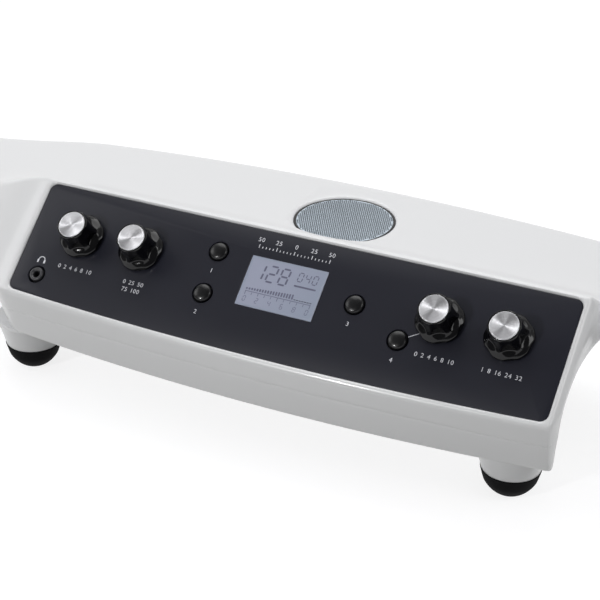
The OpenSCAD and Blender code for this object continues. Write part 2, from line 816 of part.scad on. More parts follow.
module volume_loop_ferrules() {
    color(dark_grey)
        for (s = [-1, 1])
            translate([-wing_end, wing_mid_y + s * loop_legs, loop_z]) rotate([0, -90, 0])
                rotate_extrude()
                    polygon([[tube_d / 2, 0], [tube_d / 2 + 2.6, 0], [tube_d / 2 + 2.2, 3],
                        [tube_d / 2 + 1, 4.4], [tube_d / 2, 4.4]]);
}

// The board next to each antenna, with its coil
module sensor_board(x) {
    color(board_green)
        translate([x, sensor_y, sensor_z]) {
            block([28, 32, board_t], 0);
            disc(6, board_t - eps, 12);
        }
}

top_shell();
bottom_shell();
control_panel();
display_window();
display_module();
headphone_jack();
control_board();
pot(knobs[0][1]);  // volume_pot
pot(knobs[1][1]);  // pitch_correction_pot
pot(knobs[2][1]);  // amount_pot
pot(knobs[3][1]);  // presets_encoder
pot_nuts();
button_switches();
speaker_grille();
speaker_ring();
speaker_frame();
speaker_cone();
speaker_magnet();
main_board();
board_standoffs();
rear_panel();
rear_board();
line_jack(jack_x[0]);  // left_output_jack
line_jack(jack_x[1]);  // right_output_jack
line_jack(jack_x[2]);  // pitch_cv_jack
jack_nuts();
usb_socket();
power_inlet();
power_switch_body();
stand_insert();
foot(legs[0][1]);  // front_left_foot
foot(legs[1][1]);  // front_right_foot
foot(legs[2][1]);  // rear_left_foot
foot(legs[3][1]);  // rear_right_foot
housing_screws();
pitch_antenna();
pitch_antenna_socket();
volume_loop();
volume_loop_ferrules();
sensor_board(sensor_x);  // pitch_sensor_board
sensor_board(-sensor_x);  // volume_sensor_board
knob(knobs[0][1]);  // volume_knob
knob_inlay(knobs[0][1]);  // volume_knob_inlay
shaft(knobs[0][1]);  // volume_shaft
knob(knobs[1][1]);  // pitch_correction_knob
knob_inlay(knobs[1][1]);  // pitch_correction_knob_inlay
shaft(knobs[1][1]);  // pitch_correction_shaft
knob(knobs[2][1]);  // amount_knob
knob_inlay(knobs[2][1]);  // amount_knob_inlay
shaft(knobs[2][1]);  // amount_shaft
knob(knobs[3][1]);  // presets_knob
knob_inlay(knobs[3][1]);  // presets_knob_inlay
shaft(knobs[3][1]);  // presets_shaft
button(buttons[0][1]);  // scale_button
button(buttons[1][1]);  // root_button
button(buttons[2][1]);  // setup_button
button(buttons[3][1]);  // effect_button
power_rocker();
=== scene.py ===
"""Dresses the theremin's frame: a moulded housing, its controls, its two antennas and a stage."""

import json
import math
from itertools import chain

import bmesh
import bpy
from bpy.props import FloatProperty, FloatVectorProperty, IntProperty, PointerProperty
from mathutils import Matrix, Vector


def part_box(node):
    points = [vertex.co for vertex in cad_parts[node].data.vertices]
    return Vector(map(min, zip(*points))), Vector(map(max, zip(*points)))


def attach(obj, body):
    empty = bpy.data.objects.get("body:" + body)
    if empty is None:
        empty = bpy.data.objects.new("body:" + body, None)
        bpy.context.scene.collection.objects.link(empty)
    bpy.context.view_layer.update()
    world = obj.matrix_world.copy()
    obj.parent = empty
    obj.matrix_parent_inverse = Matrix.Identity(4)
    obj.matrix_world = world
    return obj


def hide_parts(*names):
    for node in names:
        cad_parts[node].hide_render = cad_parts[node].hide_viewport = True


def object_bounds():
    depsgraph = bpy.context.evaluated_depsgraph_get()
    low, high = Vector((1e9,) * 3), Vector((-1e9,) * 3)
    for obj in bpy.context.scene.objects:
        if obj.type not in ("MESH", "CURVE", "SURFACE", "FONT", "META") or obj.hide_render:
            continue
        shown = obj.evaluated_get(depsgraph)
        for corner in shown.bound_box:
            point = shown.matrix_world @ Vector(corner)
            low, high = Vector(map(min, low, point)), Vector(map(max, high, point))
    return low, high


bl_info = {
    "name": "Theremin",
    "version": (1, 0, 0),
    "blender": (4, 5, 0),
    "location": "3D View > Sidebar > Theremin",
    "description": "Housing, controls, antennas and finishes of a table-top theremin",
    "category": "Object",
}

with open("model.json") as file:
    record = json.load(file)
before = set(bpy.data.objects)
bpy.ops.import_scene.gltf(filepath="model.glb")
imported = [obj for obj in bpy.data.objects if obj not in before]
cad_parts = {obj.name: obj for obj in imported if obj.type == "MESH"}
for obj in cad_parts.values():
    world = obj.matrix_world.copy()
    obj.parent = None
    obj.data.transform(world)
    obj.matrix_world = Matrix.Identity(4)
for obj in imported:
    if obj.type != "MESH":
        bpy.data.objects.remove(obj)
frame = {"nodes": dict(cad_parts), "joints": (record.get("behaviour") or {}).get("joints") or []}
CAD_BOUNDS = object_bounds()

MM = 0.001
TURN = 2 * math.pi

# Control panel, in millimetres: u runs to the right, v up the slope and n out of it
PANEL_W = 286.8
PANEL_TILT = math.radians(40)
PANEL_Y = -45
PANEL_Z = 52
PANEL_U0 = 0.4
PANEL_V_TOP = 27.5
PANEL_V_SIDE = -33.3
PANEL_V_MID = -37.1
PANEL_CORNER = 4
PANEL_T = 2
RIM_N = 0.7
RIM_W = 3
LEDGE_W = 3.2
LEDGE_T = 3
DISPLAY = Vector((41.1, 26.75))
JACK_UV = (-130.1, -23)
BUTTON_D = 9.4
KNOB_R = 12
KNOB_H = 15.1
KNOB_N = 0.6
INLAY_R = 7
SHAFT_R = 3
BUSH_R = 3.5

# Housing sections
DECK_H = 57.4
BACK_Y = 77
FOOT_BOW = 9
FLANK_DRAW = 20
WING_END = 250
FLANK_X = 149.4
FLANK_ROUND = 4.4
FLANK_FILLET = 5
SHOULDER_START = 143
SHOULDER_END = 205
WALL = 3.4
CREASE_Z = 17
BACK_PARTING_Z = 10
RIDGE_SETBACK = 3.2
ARCH_Z = 25
BACK_LIFT = 5            # how much higher the back's parting point lies over an arch
TIP_ROUND = 12
TIP_FLAT = 0.5
FINER = 3                # steps of a rounding here for each one of the frame's

# Things in the housing
SPEAKER_Y = 28.4
GRILLE_R = 26.5
GRILLE_TOP = DECK_H - 0.5
GRILLE_FLAT_R = 17.5
GRILLE_ROLL = 0.3
GRILLE_SHEET = 0.35      # thickness of the grille's sheet
GRILLE_GAP = 1.45        # from the deck's opening in to the plate's edge
GRILLE_BORDER = 0.15     # least metal between a hole and the plate's edge
FEET = ("front_left_foot", "front_right_foot", "rear_left_foot", "rear_right_foot")
LEG_BOOT = -18
LEG_R = 13.2
LEG_ROOT_R = 18.5
BOOT_GRIP = 4.6          # how far the rubber reaches up round the leg
STAND_R = 11
STAND_BOSS_R = 15
STAND_BOSS_TOP = 20
POSTS = ((-126, 8), (-92, 64), (92, 64), (118, 8))
POST_R = 4.5
POST_JOINT_Z = 20
SCREW_R = 1.5
SCREW_HEAD_R = 2.9
SCREW_HEAD_Z = 1
SCREW_TOP = 34

# Rear connectors, along x
REAR_Z = 31
REAR_SIZE = (168, 30)
REAR_CORNER = 5
REAR_RECESS = 2.5
USB_X = -12
POWER_X = -36

# Antennas
WING_MID_Y = 33
ROD_X = 222
ROD_TOP = 470
TUBE_R = 4.75
SOCKET_R = 9
COLLAR_LIP = 2.2         # how far the rod's collar reaches past its socket
LOOP_Z = 36
LOOP_R = 55
LOOP_LEGS = 14
LOOP_FILLET = 20
LOOP_NECK_X = -WING_END - 14

# Print and display, in millimetres
PRINT_T = 0.05           # thickness of the print
PRINT_N = 0.03           # height of its middle over the panel
SEGMENT_T = 0.04         # thickness of the display's marks
LABEL_HEIGHT = 2.2
FIGURE_SHARE = 0.7       # height of a figure for each one of the type's size

UPRIGHT = math.pi / 2
PANEL = Matrix.Translation((0, PANEL_Y, PANEL_Z)) @ Matrix.Rotation(PANEL_TILT, 4, "X")
BACK = Matrix.Translation((0, BACK_Y, REAR_Z)) @ Matrix.Rotation(-math.pi / 2, 4, "X")


# ---------------------------------------------------------------- sizes and colours

class HousingLook(bpy.types.PropertyGroup):
    """Finish of the moulded housing and its panel"""
    white: FloatVectorProperty(
        name="Housing white", description="Colour of the two moulded halves",
        subtype="COLOR", size=3, min=0, max=1, default=(0.78, 0.785, 0.797))
    black: FloatVectorProperty(
        name="Panel black", description="Colour of the control panel",
        subtype="COLOR", size=3, min=0, max=1, default=(0.0115, 0.0122, 0.0212))
    seam: FloatProperty(
        name="Seam bevel", description="Bevel along the parting line",
        unit="LENGTH", min=0.0001, max=0.001, default=0.00035)


class ControlLook(bpy.types.PropertyGroup):
    """Sizes and colours of the knobs, the buttons, the print and the display"""
    gloss: FloatVectorProperty(
        name="Knob black", description="Colour of the glossy knobs and buttons",
        subtype="COLOR", size=3, min=0, max=1, default=(0.003, 0.003, 0.004))
    metal: FloatVectorProperty(
        name="Inlay metal", description="Colour of the knobs' spun inlays",
        subtype="COLOR", size=3, min=0, max=1, default=(0.86, 0.86, 0.89))
    flute_blend: FloatProperty(
        name="Flute blend", description="How softly a flute runs out into the knob's side",
        unit="LENGTH", min=0.0001, max=0.001, default=0.0005)
    print_white: FloatVectorProperty(
        name="Print white", description="Colour of the print on the panel",
        subtype="COLOR", size=3, min=0, max=1, default=(0.72, 0.73, 0.78))
    glass: FloatVectorProperty(
        name="Display", description="Colour of the unlit display",
        subtype="COLOR", size=3, min=0, max=1, default=(0.33, 0.365, 0.46))


class GrilleLook(bpy.types.PropertyGroup):
    """The perforated loudspeaker grille"""
    pitch: FloatProperty(
        name="Hole pitch", description="Distance from hole to hole",
        unit="LENGTH", min=0.0011, max=0.004, default=0.00122)
    hole: FloatProperty(
        name="Hole", description="Diameter of a hole",
        unit="LENGTH", min=0.0004, max=0.002, default=0.00099)
    sides: IntProperty(
        name="Hole sides", description="Sides of each hole", min=6, max=16, default=8)


class StageLook(bpy.types.PropertyGroup):
    """The lamps and the floor"""
    overhead: FloatProperty(
        name="Overhead", description="Power of the softbox above and behind, in watts",
        min=0, max=200, default=8)
    left: FloatProperty(
        name="Left", description="Power of the softbox at the left, in watts",
        min=0, max=100, default=4.3)
    right: FloatProperty(
        name="Right", description="Power of the softbox at the right, in watts",
        min=0, max=100, default=3.6)
    front: FloatProperty(
        name="Front", description="Power of the small lamp in front, in watts",
        min=0, max=100, default=6.5)
    sky: FloatProperty(
        name="Sky", description="Strength of the light from all round",
        min=0, max=2, default=0.85)


# ---------------------------------------------------------------- shapes

def smooth(t, a, b):
    q = min(1, max(0, (t - a) / (b - a)))
    return q * q * (3 - 2 * q)


def mix(a, b, k):
    return a + (b - a) * k


def arc(centre, radius, start, end, steps):
    """Points along an arc, with its angles in degrees"""
    angles = [math.radians(mix(start, end, i / steps)) for i in range(steps + 1)]
    return [(centre[0] + radius * math.cos(a), centre[1] + radius * math.sin(a)) for a in angles]


def at_height(outline, z):
    return [(x, y, z) for x, y in outline]


def loft(bm, rows):
    """Lays a sheet over rows of equally many points, and gives back its vertices"""
    sheet = bmesh.ops.create_grid(bm, x_segments=len(rows[0]) - 1, y_segments=len(rows) - 1, size=1)
    for vert, point in zip(sheet["verts"], chain.from_iterable(rows)):
        vert.co = point
    return sheet["verts"]


def clean(bm, merge=1e-4):
    bmesh.ops.remove_doubles(bm, verts=bm.verts, dist=merge)
    bmesh.ops.recalc_face_normals(bm, faces=bm.faces)
    return bm


def stack(loops):
    """A solid through closed outlines that lie one above the other"""
    bm = bmesh.new()
    loft(bm, [loop + loop[:1] for loop in loops])
    bmesh.ops.remove_doubles(bm, verts=bm.verts, dist=1e-4)
    bmesh.ops.holes_fill(bm, edges=[e for e in bm.edges if e.is_boundary])
    return clean(bm)


def revolve(profile, steps=64):
    """A solid of revolution about z from points of radius and height"""
    bm = bmesh.new()
    verts = [bm.verts.new((r, 0, z)) for r, z in profile]
    edges = [bm.edges.new(pair) for pair in zip(verts, verts[1:])]
    bmesh.ops.spin(bm, geom=verts + edges, cent=(0, 0, 0), axis=(0, 0, 1), dvec=(0, 0, 0),
                   angle=TURN, steps=steps, use_merge=True)
    return clean(bm)


def softened(corners, steps=4):
    """A profile whose corners, each with a place and a reach, are rounded"""
    points = [Vector(c[:2]) for c in corners]
    out = []
    for i, here in enumerate(points):
        reach = corners[i][2] if len(corners[i]) > 2 else 0
        if reach == 0 or i in (0, len(points) - 1):
            out.append(here)
            continue
        before, after = points[i - 1], points[i + 1]
        p = here + min(reach, (before - here).length * 0.5) * (before - here).normalized()
        q = here + min(reach, (after - here).length * 0.5) * (after - here).normalized()
        for k in range(steps + 1):
            t = k / steps
            out.append((1 - t) ** 2 * p + 2 * t * (1 - t) * here + t * t * q)
    return [tuple(p) for p in out]


def cylinder(radius, low, high, steps=48):
    bm = bmesh.new()
    bmesh.ops.create_cone(bm, cap_ends=True, segments=steps, radius1=radius, radius2=radius,
                          depth=high - low)
    bmesh.ops.translate(bm, vec=(0, 0, (low + high) / 2), verts=bm.verts)
    return bm


def slab_outline(size, corner):
    """A rounded rectangle about the origin"""
    x, y = size[0] / 2 - corner, size[1] / 2 - corner
    middles = ((x, y), (-x, y), (-x, -y), (x, -y))
    return [point for i, centre in enumerate(middles)
            for point in arc(centre, corner, 90 * i, 90 * (i + 1), 8)]


def slab(size, corner, low, high, bevel=0.0):
    """A rounded rectangle with an optional bevel on its upper edge"""
    loops = [at_height(slab_outline(size, corner), z) for z in (low, high - bevel)]
    if bevel:
        small = (size[0] - 2 * bevel, size[1] - 2 * bevel)
        loops.append(at_height(slab_outline(small, max(corner - bevel, 0.01)), high))
    return stack(loops)


def moved(bm, matrix):
    bmesh.ops.transform(bm, matrix=matrix, verts=bm.verts)
    return bm


def shifted(bm, x=0, y=0, z=0):
    bmesh.ops.translate(bm, vec=(x, y, z), verts=bm.verts)
    return bm


def mesh_of(bm, name):
    """Turns a shape into a mesh, and frees the shape"""
    mesh = bpy.data.meshes.new(name)
    bm.to_mesh(mesh)
    bm.free()
    return mesh


def add_object(name, data):
    """Puts a new object into the scene"""
    item = bpy.data.objects.new(name, data)
    bpy.context.scene.collection.objects.link(item)
    return item


def merged(shapes):
    """Puts separate shapes into one"""
    whole = bmesh.new()
    for shape in shapes:
        mesh = mesh_of(shape, "part")
        whole.from_mesh(mesh)
        bpy.data.meshes.remove(mesh)
    return whole


def boolean(bm, tool, operation="DIFFERENCE"):
    """Cuts one closed shape with another, or joins them, and gives back the result"""
    objects = []
    for shape in (bm, tool):
        if not all(edge.is_manifold for edge in shape.edges):
            raise RuntimeError("a shape for a boolean isn't closed")
        objects.append(add_object("work", mesh_of(shape, "work")))
    solid, cutter = objects
    modifier = solid.modifiers.new("cut", "BOOLEAN")
    modifier.operation = operation
    modifier.solver = "MANIFOLD"
    modifier.object = cutter
    result = bmesh.new()
    evaluated = solid.evaluated_get(bpy.context.evaluated_depsgraph_get())
    result.from_mesh(evaluated.to_mesh())
    evaluated.to_mesh_clear()
    for item in objects:
        mesh = item.data
        bpy.data.objects.remove(item)
        bpy.data.meshes.remove(mesh)
    if not result.faces:
        raise RuntimeError("a boolean left nothing: its shapes aren't closed")
    return result


def union(bm, *tools):
    for tool in tools:
        bm = boolean(bm, tool, "UNION")
    return bm


def difference(bm, *tools):
    for tool in tools:
        bm = boolean(bm, tool)
    return bm


def text_shape(text, height):
    """Lettering as a thin solid, centred on the origin"""
    curve = bpy.data.curves.new("print", "FONT")
    curve.body = text
    curve.size = height / FIGURE_SHARE
    curve.align_x = "CENTER"
    curve.align_y = "CENTER"
    curve.extrude = PRINT_T / 2
    curve.space_character = 1.12
    curve.space_word = 1.5
    curve.resolution_u = 3
    item = add_object("print", curve)
    evaluated = item.evaluated_get(bpy.context.evaluated_depsgraph_get())
    bm = bmesh.new()
    bm.from_mesh(evaluated.to_mesh())
    evaluated.to_mesh_clear()
    bpy.data.objects.remove(item)
    bpy.data.curves.remove(curve)
    return clean(bm)


def finish_piece(bm, name, material, body="housing", nodes=(), place=None, angle=35):
    """Makes a finished object of a shape in millimetres, and hangs it under the empty of its body"""
    if place is not None:
        bmesh.ops.transform(bm, matrix=place, verts=bm.verts)
    bmesh.ops.scale(bm, vec=(MM, MM, MM), verts=bm.verts)
    mesh = mesh_of(bm, name)
    if not mesh.polygons:
        raise RuntimeError(f"{name} has no faces")
    mesh.shade_smooth()
    mesh.set_sharp_from_angle(angle=math.radians(angle))
    mesh.materials.append(material)
    piece = add_object(name, mesh)
    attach(piece, body)
    if nodes:
        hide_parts(*nodes)


# ---------------------------------------------------------------- finishes

def new_finish(name, colour, roughness, metallic=0.0, coat=0.0):
    """A material with one main shader, whose even values stand on the shader itself"""
    material = bpy.data.materials.new(name)
    material.use_nodes = True
    tree = material.node_tree
    shader = tree.nodes["Principled BSDF"]
    shader.inputs["Base Color"].default_value = (*colour, 1)
    shader.inputs["Roughness"].default_value = roughness
    shader.inputs["Metallic"].default_value = metallic
    shader.inputs["Coat Weight"].default_value = coat
    shader.inputs["Coat Roughness"].default_value = 0.06
    return material, tree, shader


def noise(tree, scale, detail=2.0, stretch=(1, 1, 1)):
    """A noise over the piece, whose scale counts waves to the metre"""
    where = tree.nodes.new("ShaderNodeTexCoord")
    turn = tree.nodes.new("ShaderNodeMapping")
    turn.inputs["Scale"].default_value = stretch
    texture = tree.nodes.new("ShaderNodeTexNoise")
    texture.inputs["Scale"].default_value = scale
    texture.inputs["Detail"].default_value = detail
    tree.links.new(where.outputs["Object"], turn.inputs["Vector"])
    tree.links.new(turn.outputs["Vector"], texture.inputs["Vector"])
    return texture.outputs["Fac"]


def ramp(tree, factor, low, high, start=0.35, end=0.65):
    """Two colours or two grey levels, mixed along a factor"""
    node = tree.nodes.new("ShaderNodeValToRGB")
    node.color_ramp.elements[0].position = start
    node.color_ramp.elements[1].position = end
    node.color_ramp.elements[0].color = (*low, 1) if isinstance(low, tuple) else (low, low, low, 1)
    node.color_ramp.elements[1].color = (*high, 1) if isinstance(high, tuple) else (high, high, high, 1)
    tree.links.new(factor, node.inputs["Fac"])
    return node.outputs["Color"]


def bump(tree, shader, factor, depth, distance=0.0001):
    node = tree.nodes.new("ShaderNodeBump")
    node.inputs["Strength"].default_value = depth
    node.inputs["Distance"].default_value = distance
    tree.links.new(factor, node.inputs["Height"])
    tree.links.new(node.outputs["Normal"], shader.inputs["Normal"])


def shade(colour, by):
    return tuple(min(1, max(0, c * by)) for c in colour)


def moulded(name, colour, roughness, coat=0.0, grain=2600, depth=0.12, spread=0.05, wear=0.08,
            specular=0.5):
    """Moulded plastic: a fine grain, and a faint drift of colour and gloss"""
    material, tree, shader = new_finish(name, colour, roughness, coat=coat)
    shader.inputs["Specular IOR Level"].default_value = specular
    drift = noise(tree, 12, 4)
    tree.links.new(ramp(tree, drift, shade(colour, 1 - spread / 2), shade(colour, 1 + spread / 2),
                        0.2, 0.8), shader.inputs["Base Color"])
    tree.links.new(ramp(tree, drift, roughness * (1 - wear), roughness * (1 + wear), 0.2, 0.8),
                   shader.inputs["Roughness"])
    bump(tree, shader, noise(tree, grain, 3), depth, 0.00005)
    return material


def metal(name, colour, roughness, depth=0.15, wear=0.25):
    """Bare or plated metal, with fine wear in its gloss"""
    material, tree, shader = new_finish(name, colour, roughness, metallic=1.0)
    worn = noise(tree, 60, 5)
    tree.links.new(ramp(tree, worn, roughness * (1 - wear), roughness * (1 + wear), 0.2, 0.8),
                   shader.inputs["Roughness"])
    tree.links.new(ramp(tree, worn, shade(colour, 1 - wear / 5), shade(colour, 1 + wear / 5), 0.2, 0.8),
                   shader.inputs["Base Color"])
    bump(tree, shader, noise(tree, 900, 2), depth, 0.00003)
    return material


def spun_metal(name, colour):
    """Spun aluminium: fine rings round the middle of a piece that carries polar coordinates"""
    material, tree, shader = new_finish(name, colour, 0.3, metallic=1.0)
    shader.inputs["Anisotropic"].default_value = 0.85
    tangent = tree.nodes.new("ShaderNodeTangent")
    tangent.direction_type = "UV_MAP"
    tangent.uv_map = "polar"
    tree.links.new(tangent.outputs["Tangent"], shader.inputs["Tangent"])
    where = tree.nodes.new("ShaderNodeUVMap")
    where.uv_map = "polar"
    rings = tree.nodes.new("ShaderNodeMapping")
    rings.inputs["Scale"].default_value = (0.6, 90, 1)
    texture = tree.nodes.new("ShaderNodeTexNoise")
    texture.inputs["Scale"].default_value = 1
    texture.inputs["Detail"].default_value = 4
    tree.links.new(where.outputs["UV"], rings.inputs["Vector"])
    tree.links.new(rings.outputs["Vector"], texture.inputs["Vector"])
    tree.links.new(ramp(tree, texture.outputs["Fac"], shade(colour, 0.84), shade(colour, 1.06)),
                   shader.inputs["Base Color"])
    tree.links.new(ramp(tree, texture.outputs["Fac"], 0.34, 0.46), shader.inputs["Roughness"])
    bump(tree, shader, texture.outputs["Fac"], 0.25, 0.00003)
    return material


def display_glass(name, colour):
    """An unlit display under its window, with painted light across it: it pales towards one corner and
    deepens towards the other
    """
    material, tree, shader = new_finish(name, colour, 0.22, coat=0.6)
    where = tree.nodes.new("ShaderNodeTexCoord")
    turn = tree.nodes.new("ShaderNodeMapping")
    turn.vector_type = "TEXTURE"
    turn.inputs["Location"].default_value = (-0.02, -0.055, 0.06)
    turn.inputs["Rotation"].default_value = (0, 0, math.radians(-35))
    turn.inputs["Scale"].default_value = (0.05, 0.05, 0.05)
    fade = tree.nodes.new("ShaderNodeTexGradient")
    tree.links.new(where.outputs["Object"], turn.inputs["Vector"])
    tree.links.new(turn.outputs["Vector"], fade.inputs["Vector"])
    # Painted light: the pale end paints the display as lit at one corner, the deep end as shaded at the
    # other
    pale = (colour[0] * 1.14, colour[1] * 1.1, colour[2] * 1.12)
    deep = (colour[0] * 0.92, colour[1] * 0.98, colour[2] * 0.98)
    tree.links.new(ramp(tree, fade.outputs["Fac"], pale, deep, 0.1, 0.95), shader.inputs["Base Color"])
    bump(tree, shader, noise(tree, 4200, 1), 0.05, 0.00003)
    return material


def circuit_board(name):
    """Green solder mask over copper tracks"""
    colour = (0.02, 0.13, 0.06)
    material, tree, shader = new_finish(name, colour, 0.35, coat=0.4)
    tracks = tree.nodes.new("ShaderNodeTexVoronoi")
    tracks.feature = "DISTANCE_TO_EDGE"
    tracks.distance = "MANHATTAN"
    tracks.inputs["Scale"].default_value = 170
    where = tree.nodes.new("ShaderNodeTexCoord")
    tree.links.new(where.outputs["Object"], tracks.inputs["Vector"])
    tree.links.new(ramp(tree, tracks.outputs["Distance"], (0.05, 0.2, 0.09), colour, 0.03, 0.09),
                   shader.inputs["Base Color"])
    bump(tree, shader, tracks.outputs["Distance"], 0.2, 0.0001)
    return material


def paper(name):
    """Pressed loudspeaker paper"""
    material, tree, shader = new_finish(name, (0.02, 0.02, 0.021), 0.9)
    fibres = noise(tree, 1500, 6, (1, 1, 0.3))
    tree.links.new(ramp(tree, fibres, (0.012, 0.012, 0.013), (0.035, 0.034, 0.033)),
                   shader.inputs["Base Color"])
    bump(tree, shader, fibres, 0.6, 0.0002)
    return material


FINISHES = {}


def finish(name):
    """The named finish, made once"""
    if name in FINISHES:
        return FINISHES[name]
    housing = bpy.context.scene.housing_look
    control = bpy.context.scene.control_look
    makers = {
        "housing_white": lambda: moulded("housing_white", tuple(housing.white), 0.3, 0.3,
                                         depth=0.02, spread=0.008, wear=0.02),
        "panel_black": lambda: moulded("panel_black", tuple(housing.black), 0.4,
                                       grain=3400, depth=0.14, spread=0.06, specular=0.36),
        "gloss_black": lambda: moulded("gloss_black", tuple(control.gloss), 0.11,
                                       depth=0.01, spread=0.1, specular=0.36),
        "button_black": lambda: moulded("button_black", tuple(control.gloss), 0.3, 0.1,
                                        depth=0.05, spread=0.1, specular=0.45),
        "jack_black": lambda: moulded("jack_black", (0.045, 0.045, 0.05), 0.36, 0.1,
                                      depth=0.08),
        "rubber": lambda: moulded("foot_rubber", (0.004, 0.004, 0.0045), 0.75,
                                  grain=1400, depth=0.3, spread=0.3, specular=0.08),
        "print_white": lambda: moulded("print_white", tuple(control.print_white), 0.55,
                                       depth=0.05),
        "inlay": lambda: spun_metal("inlay_aluminium", tuple(control.metal)),
        "display": lambda: display_glass("display_glass", tuple(control.glass)),
        "segments": lambda: moulded("display_segments", (0.15, 0.155, 0.23), 0.3, 0.5, depth=0.02),
        # The display's border is pale to paint the highlight that the window's recess edge catches
        "display_border": lambda: moulded("display_border", (0.33, 0.37, 0.47), 0.3, 0.5,
                                          depth=0.03, spread=0.02),
        "grille": lambda: metal("grille_metal", (0.62, 0.7, 0.78), 0.3, depth=0.03, wear=0.06),
        "steel": lambda: metal("plated_steel", (0.8, 0.81, 0.84), 0.13),
        "zinc": lambda: metal("zinc_steel", (0.62, 0.62, 0.6), 0.34),
        "module_grey": lambda: moulded("module_grey", (0.22, 0.23, 0.25), 0.45, depth=0.2),
        "board": lambda: circuit_board("board_green"),
        "paper": lambda: paper("cone_paper"),
    }
    FINISHES[name] = makers[name]()
    return FINISHES[name]


# ---------------------------------------------------------------- housing

def slope(v, n):
    """A point of the console's sloping face, as y and z"""
    c, s = math.cos(PANEL_TILT), math.sin(PANEL_TILT)
    return Vector((PANEL_Y + v * c - n * s, PANEL_Z + v * s + n * c))


def bow(x):
    """Nought at the middle of the panel, one at its ends"""
    return (x / (PANEL_W / 2)) ** 2


def deck_z(x):
    """The deck falls a little towards both ends"""
    return DECK_H - 2.6 * (x / 124) ** 2


def right_blend(x):
    """How far the right side has turned from console, 0, to wing, 1"""
    if x < FLANK_X - FLANK_ROUND:
        return 0
    if x < FLANK_X:
        return 0.5 * (1 - math.sqrt(1 - ((x - FLANK_X + FLANK_ROUND) / FLANK_ROUND) ** 2))
    if x < FLANK_X + FLANK_FILLET:
        return 0.5 + 0.5 * math.sqrt(1 - (1 - (x - FLANK_X) / FLANK_FILLET) ** 2)
    return 1


def wing_blend(x):
    return right_blend(x) if x > 0 else smooth(-x, SHOULDER_START, SHOULDER_END)


def arch(x):
    """How far the belly has risen into the arch under a wing"""
    return smooth(x, 128, 147) if x > 0 else smooth(-x, 152, 202)


def draw_in(x, y, z):
    """The right flank leans in below the deck, more towards the back"""
    near = smooth(x, 100, 145) * (1 - smooth(x, 165, 230))
    back = 1 - math.exp(-max(0, y + 62) / 40)
    low = 1 - min(1, max(0, z / 50)) ** 1.5
    return FLANK_DRAW * near * back * low


def collar_height():
    """Height of the flat in the right wing that the rod's collar sits on"""
    return deck_z(ROD_X + SOCKET_R + COLLAR_LIP)


def placed(x, y, z):
    """A section's point, drawn in with the flank"""
    return (x - draw_in(x, y, z), y, z)


def console_corners(x):
    """Corners of the console's section, each with its reach and its number of points"""
    b = min(1.2, bow(x))
    v_low = mix(PANEL_V_MID, PANEL_V_SIDE, min(1, bow(x))) - RIM_W
    back = BACK_Y - 2.5 * b
    return [((-73.5 + FOOT_BOW * b, 0), 3.5, 4), ((-76 + 6 * b, CREASE_Z), 5, 3),
            (slope(v_low, RIM_N), 2.2, 4), (slope(PANEL_V_TOP + RIM_W, RIM_N), RIDGE_SETBACK, 4),
            ((1, deck_z(x) + 0.6), 10, 4), ((back, deck_z(x)), 11, 5),
            ((back, BACK_PARTING_Z), 0, 1), ((back - 4, 0), 7, 4), ((30, 0), 12, 3),
            ((-20, 0), 12, 3)]


def wing_corners(x):
    """Corners of the wing's section: a blade that tapers, scooped out beside the right flank"""
    k = smooth(abs(x), 150, WING_END)
    scoop = 1 - smooth(x, 156, 178) if x > 0 else 0
    front = mix(-17, 4, k) + 5 * scoop
    back = mix(BACK_Y - 2, 62, k)
    top = deck_z(x)
    low = mix(ARCH_Z, 22, k)
    return [((front + 14 + 24 * scoop, mix(top, low, 0.62)), 5, 4),
            ((front + 3 + 19 * scoop, mix(top, low, 0.38)), 4, 3),
            ((front, mix(top, low, 0.2)), 2.5, 4), ((front + 6, top - 0.8), 4, 4),
            ((front + 26, top), 8, 4), ((back, top - 1), 10, 5),
            ((back, mix(low, top, 0.25)), 0, 1), ((back - 5, low), 5, 4),
            ((30 + 12 * scoop, low), 8, 3), ((front + 17 + 24 * scoop, mix(low, top, 0.12)), 6, 3)]


def rise(corners, x):
    """Lifts the two lower back corners and the belly, which forms the arches"""
    a = arch(x)
    lifted = list(corners)
    for i in (6, 7, 8):
        (y, z), reach, count = corners[i]
        lifted[i] = ((y, mix(z, ARCH_Z + (BACK_LIFT if i == 6 else 0), a)), reach, count)
    return lifted


def rounded_corner(before, here, after, reach, count):
    if count == 1:
        return [here]
    p = here + min(reach, 0.45 * (before - here).length) * (before - here).normalized()
    q = here + min(reach, 0.45 * (after - here).length) * (after - here).normalized()
    steps = FINER * (count - 1)
    return [(1 - t) ** 2 * p + 2 * t * (1 - t) * here + t * t * q
            for t in (i / steps for i in range(steps + 1))]


def section(x):
    """The outer outline at x, and the places in it of the front and back parting points"""
    w = wing_blend(x)
    console, wing = rise(console_corners(x), x), rise(wing_corners(x), x)
    corners = [(Vector(c[0]).lerp(Vector(d[0]), w), mix(c[1], d[1], w), c[2])
               for c, d in zip(console, wing)]
    points, starts = [], []
    for i, (here, reach, count) in enumerate(corners):
        starts.append(len(points))
        points += rounded_corner(corners[i - 1][0], here, corners[(i + 1) % len(corners)][0], reach, count)
    return points, (starts[1] + starts[2] - 1) // 2, starts[6]


def tip_share(x):
    """The wing's end closes over its last few millimetres, with a soft edge"""
    t = (abs(x) - WING_END + TIP_ROUND) / TIP_ROUND
    if t <= 0:
        return 1
    flat_from = math.sqrt(1 - TIP_FLAT ** 2)
    if t < flat_from:
        return math.sqrt(1 - t * t)
    u = min(1, (t - flat_from) / (1 - flat_from))
    return TIP_FLAT - 0.05 * (1 - math.sqrt(1 - u * u))


def middle(points):
    """The middle of an outline's box, and half the box's size"""
    low = Vector((min(p[0] for p in points), min(p[1] for p in points)))
    high = Vector((max(p[0] for p in points), max(p[1] for p in points)))
    return (low + high) / 2, (high - low) / 2


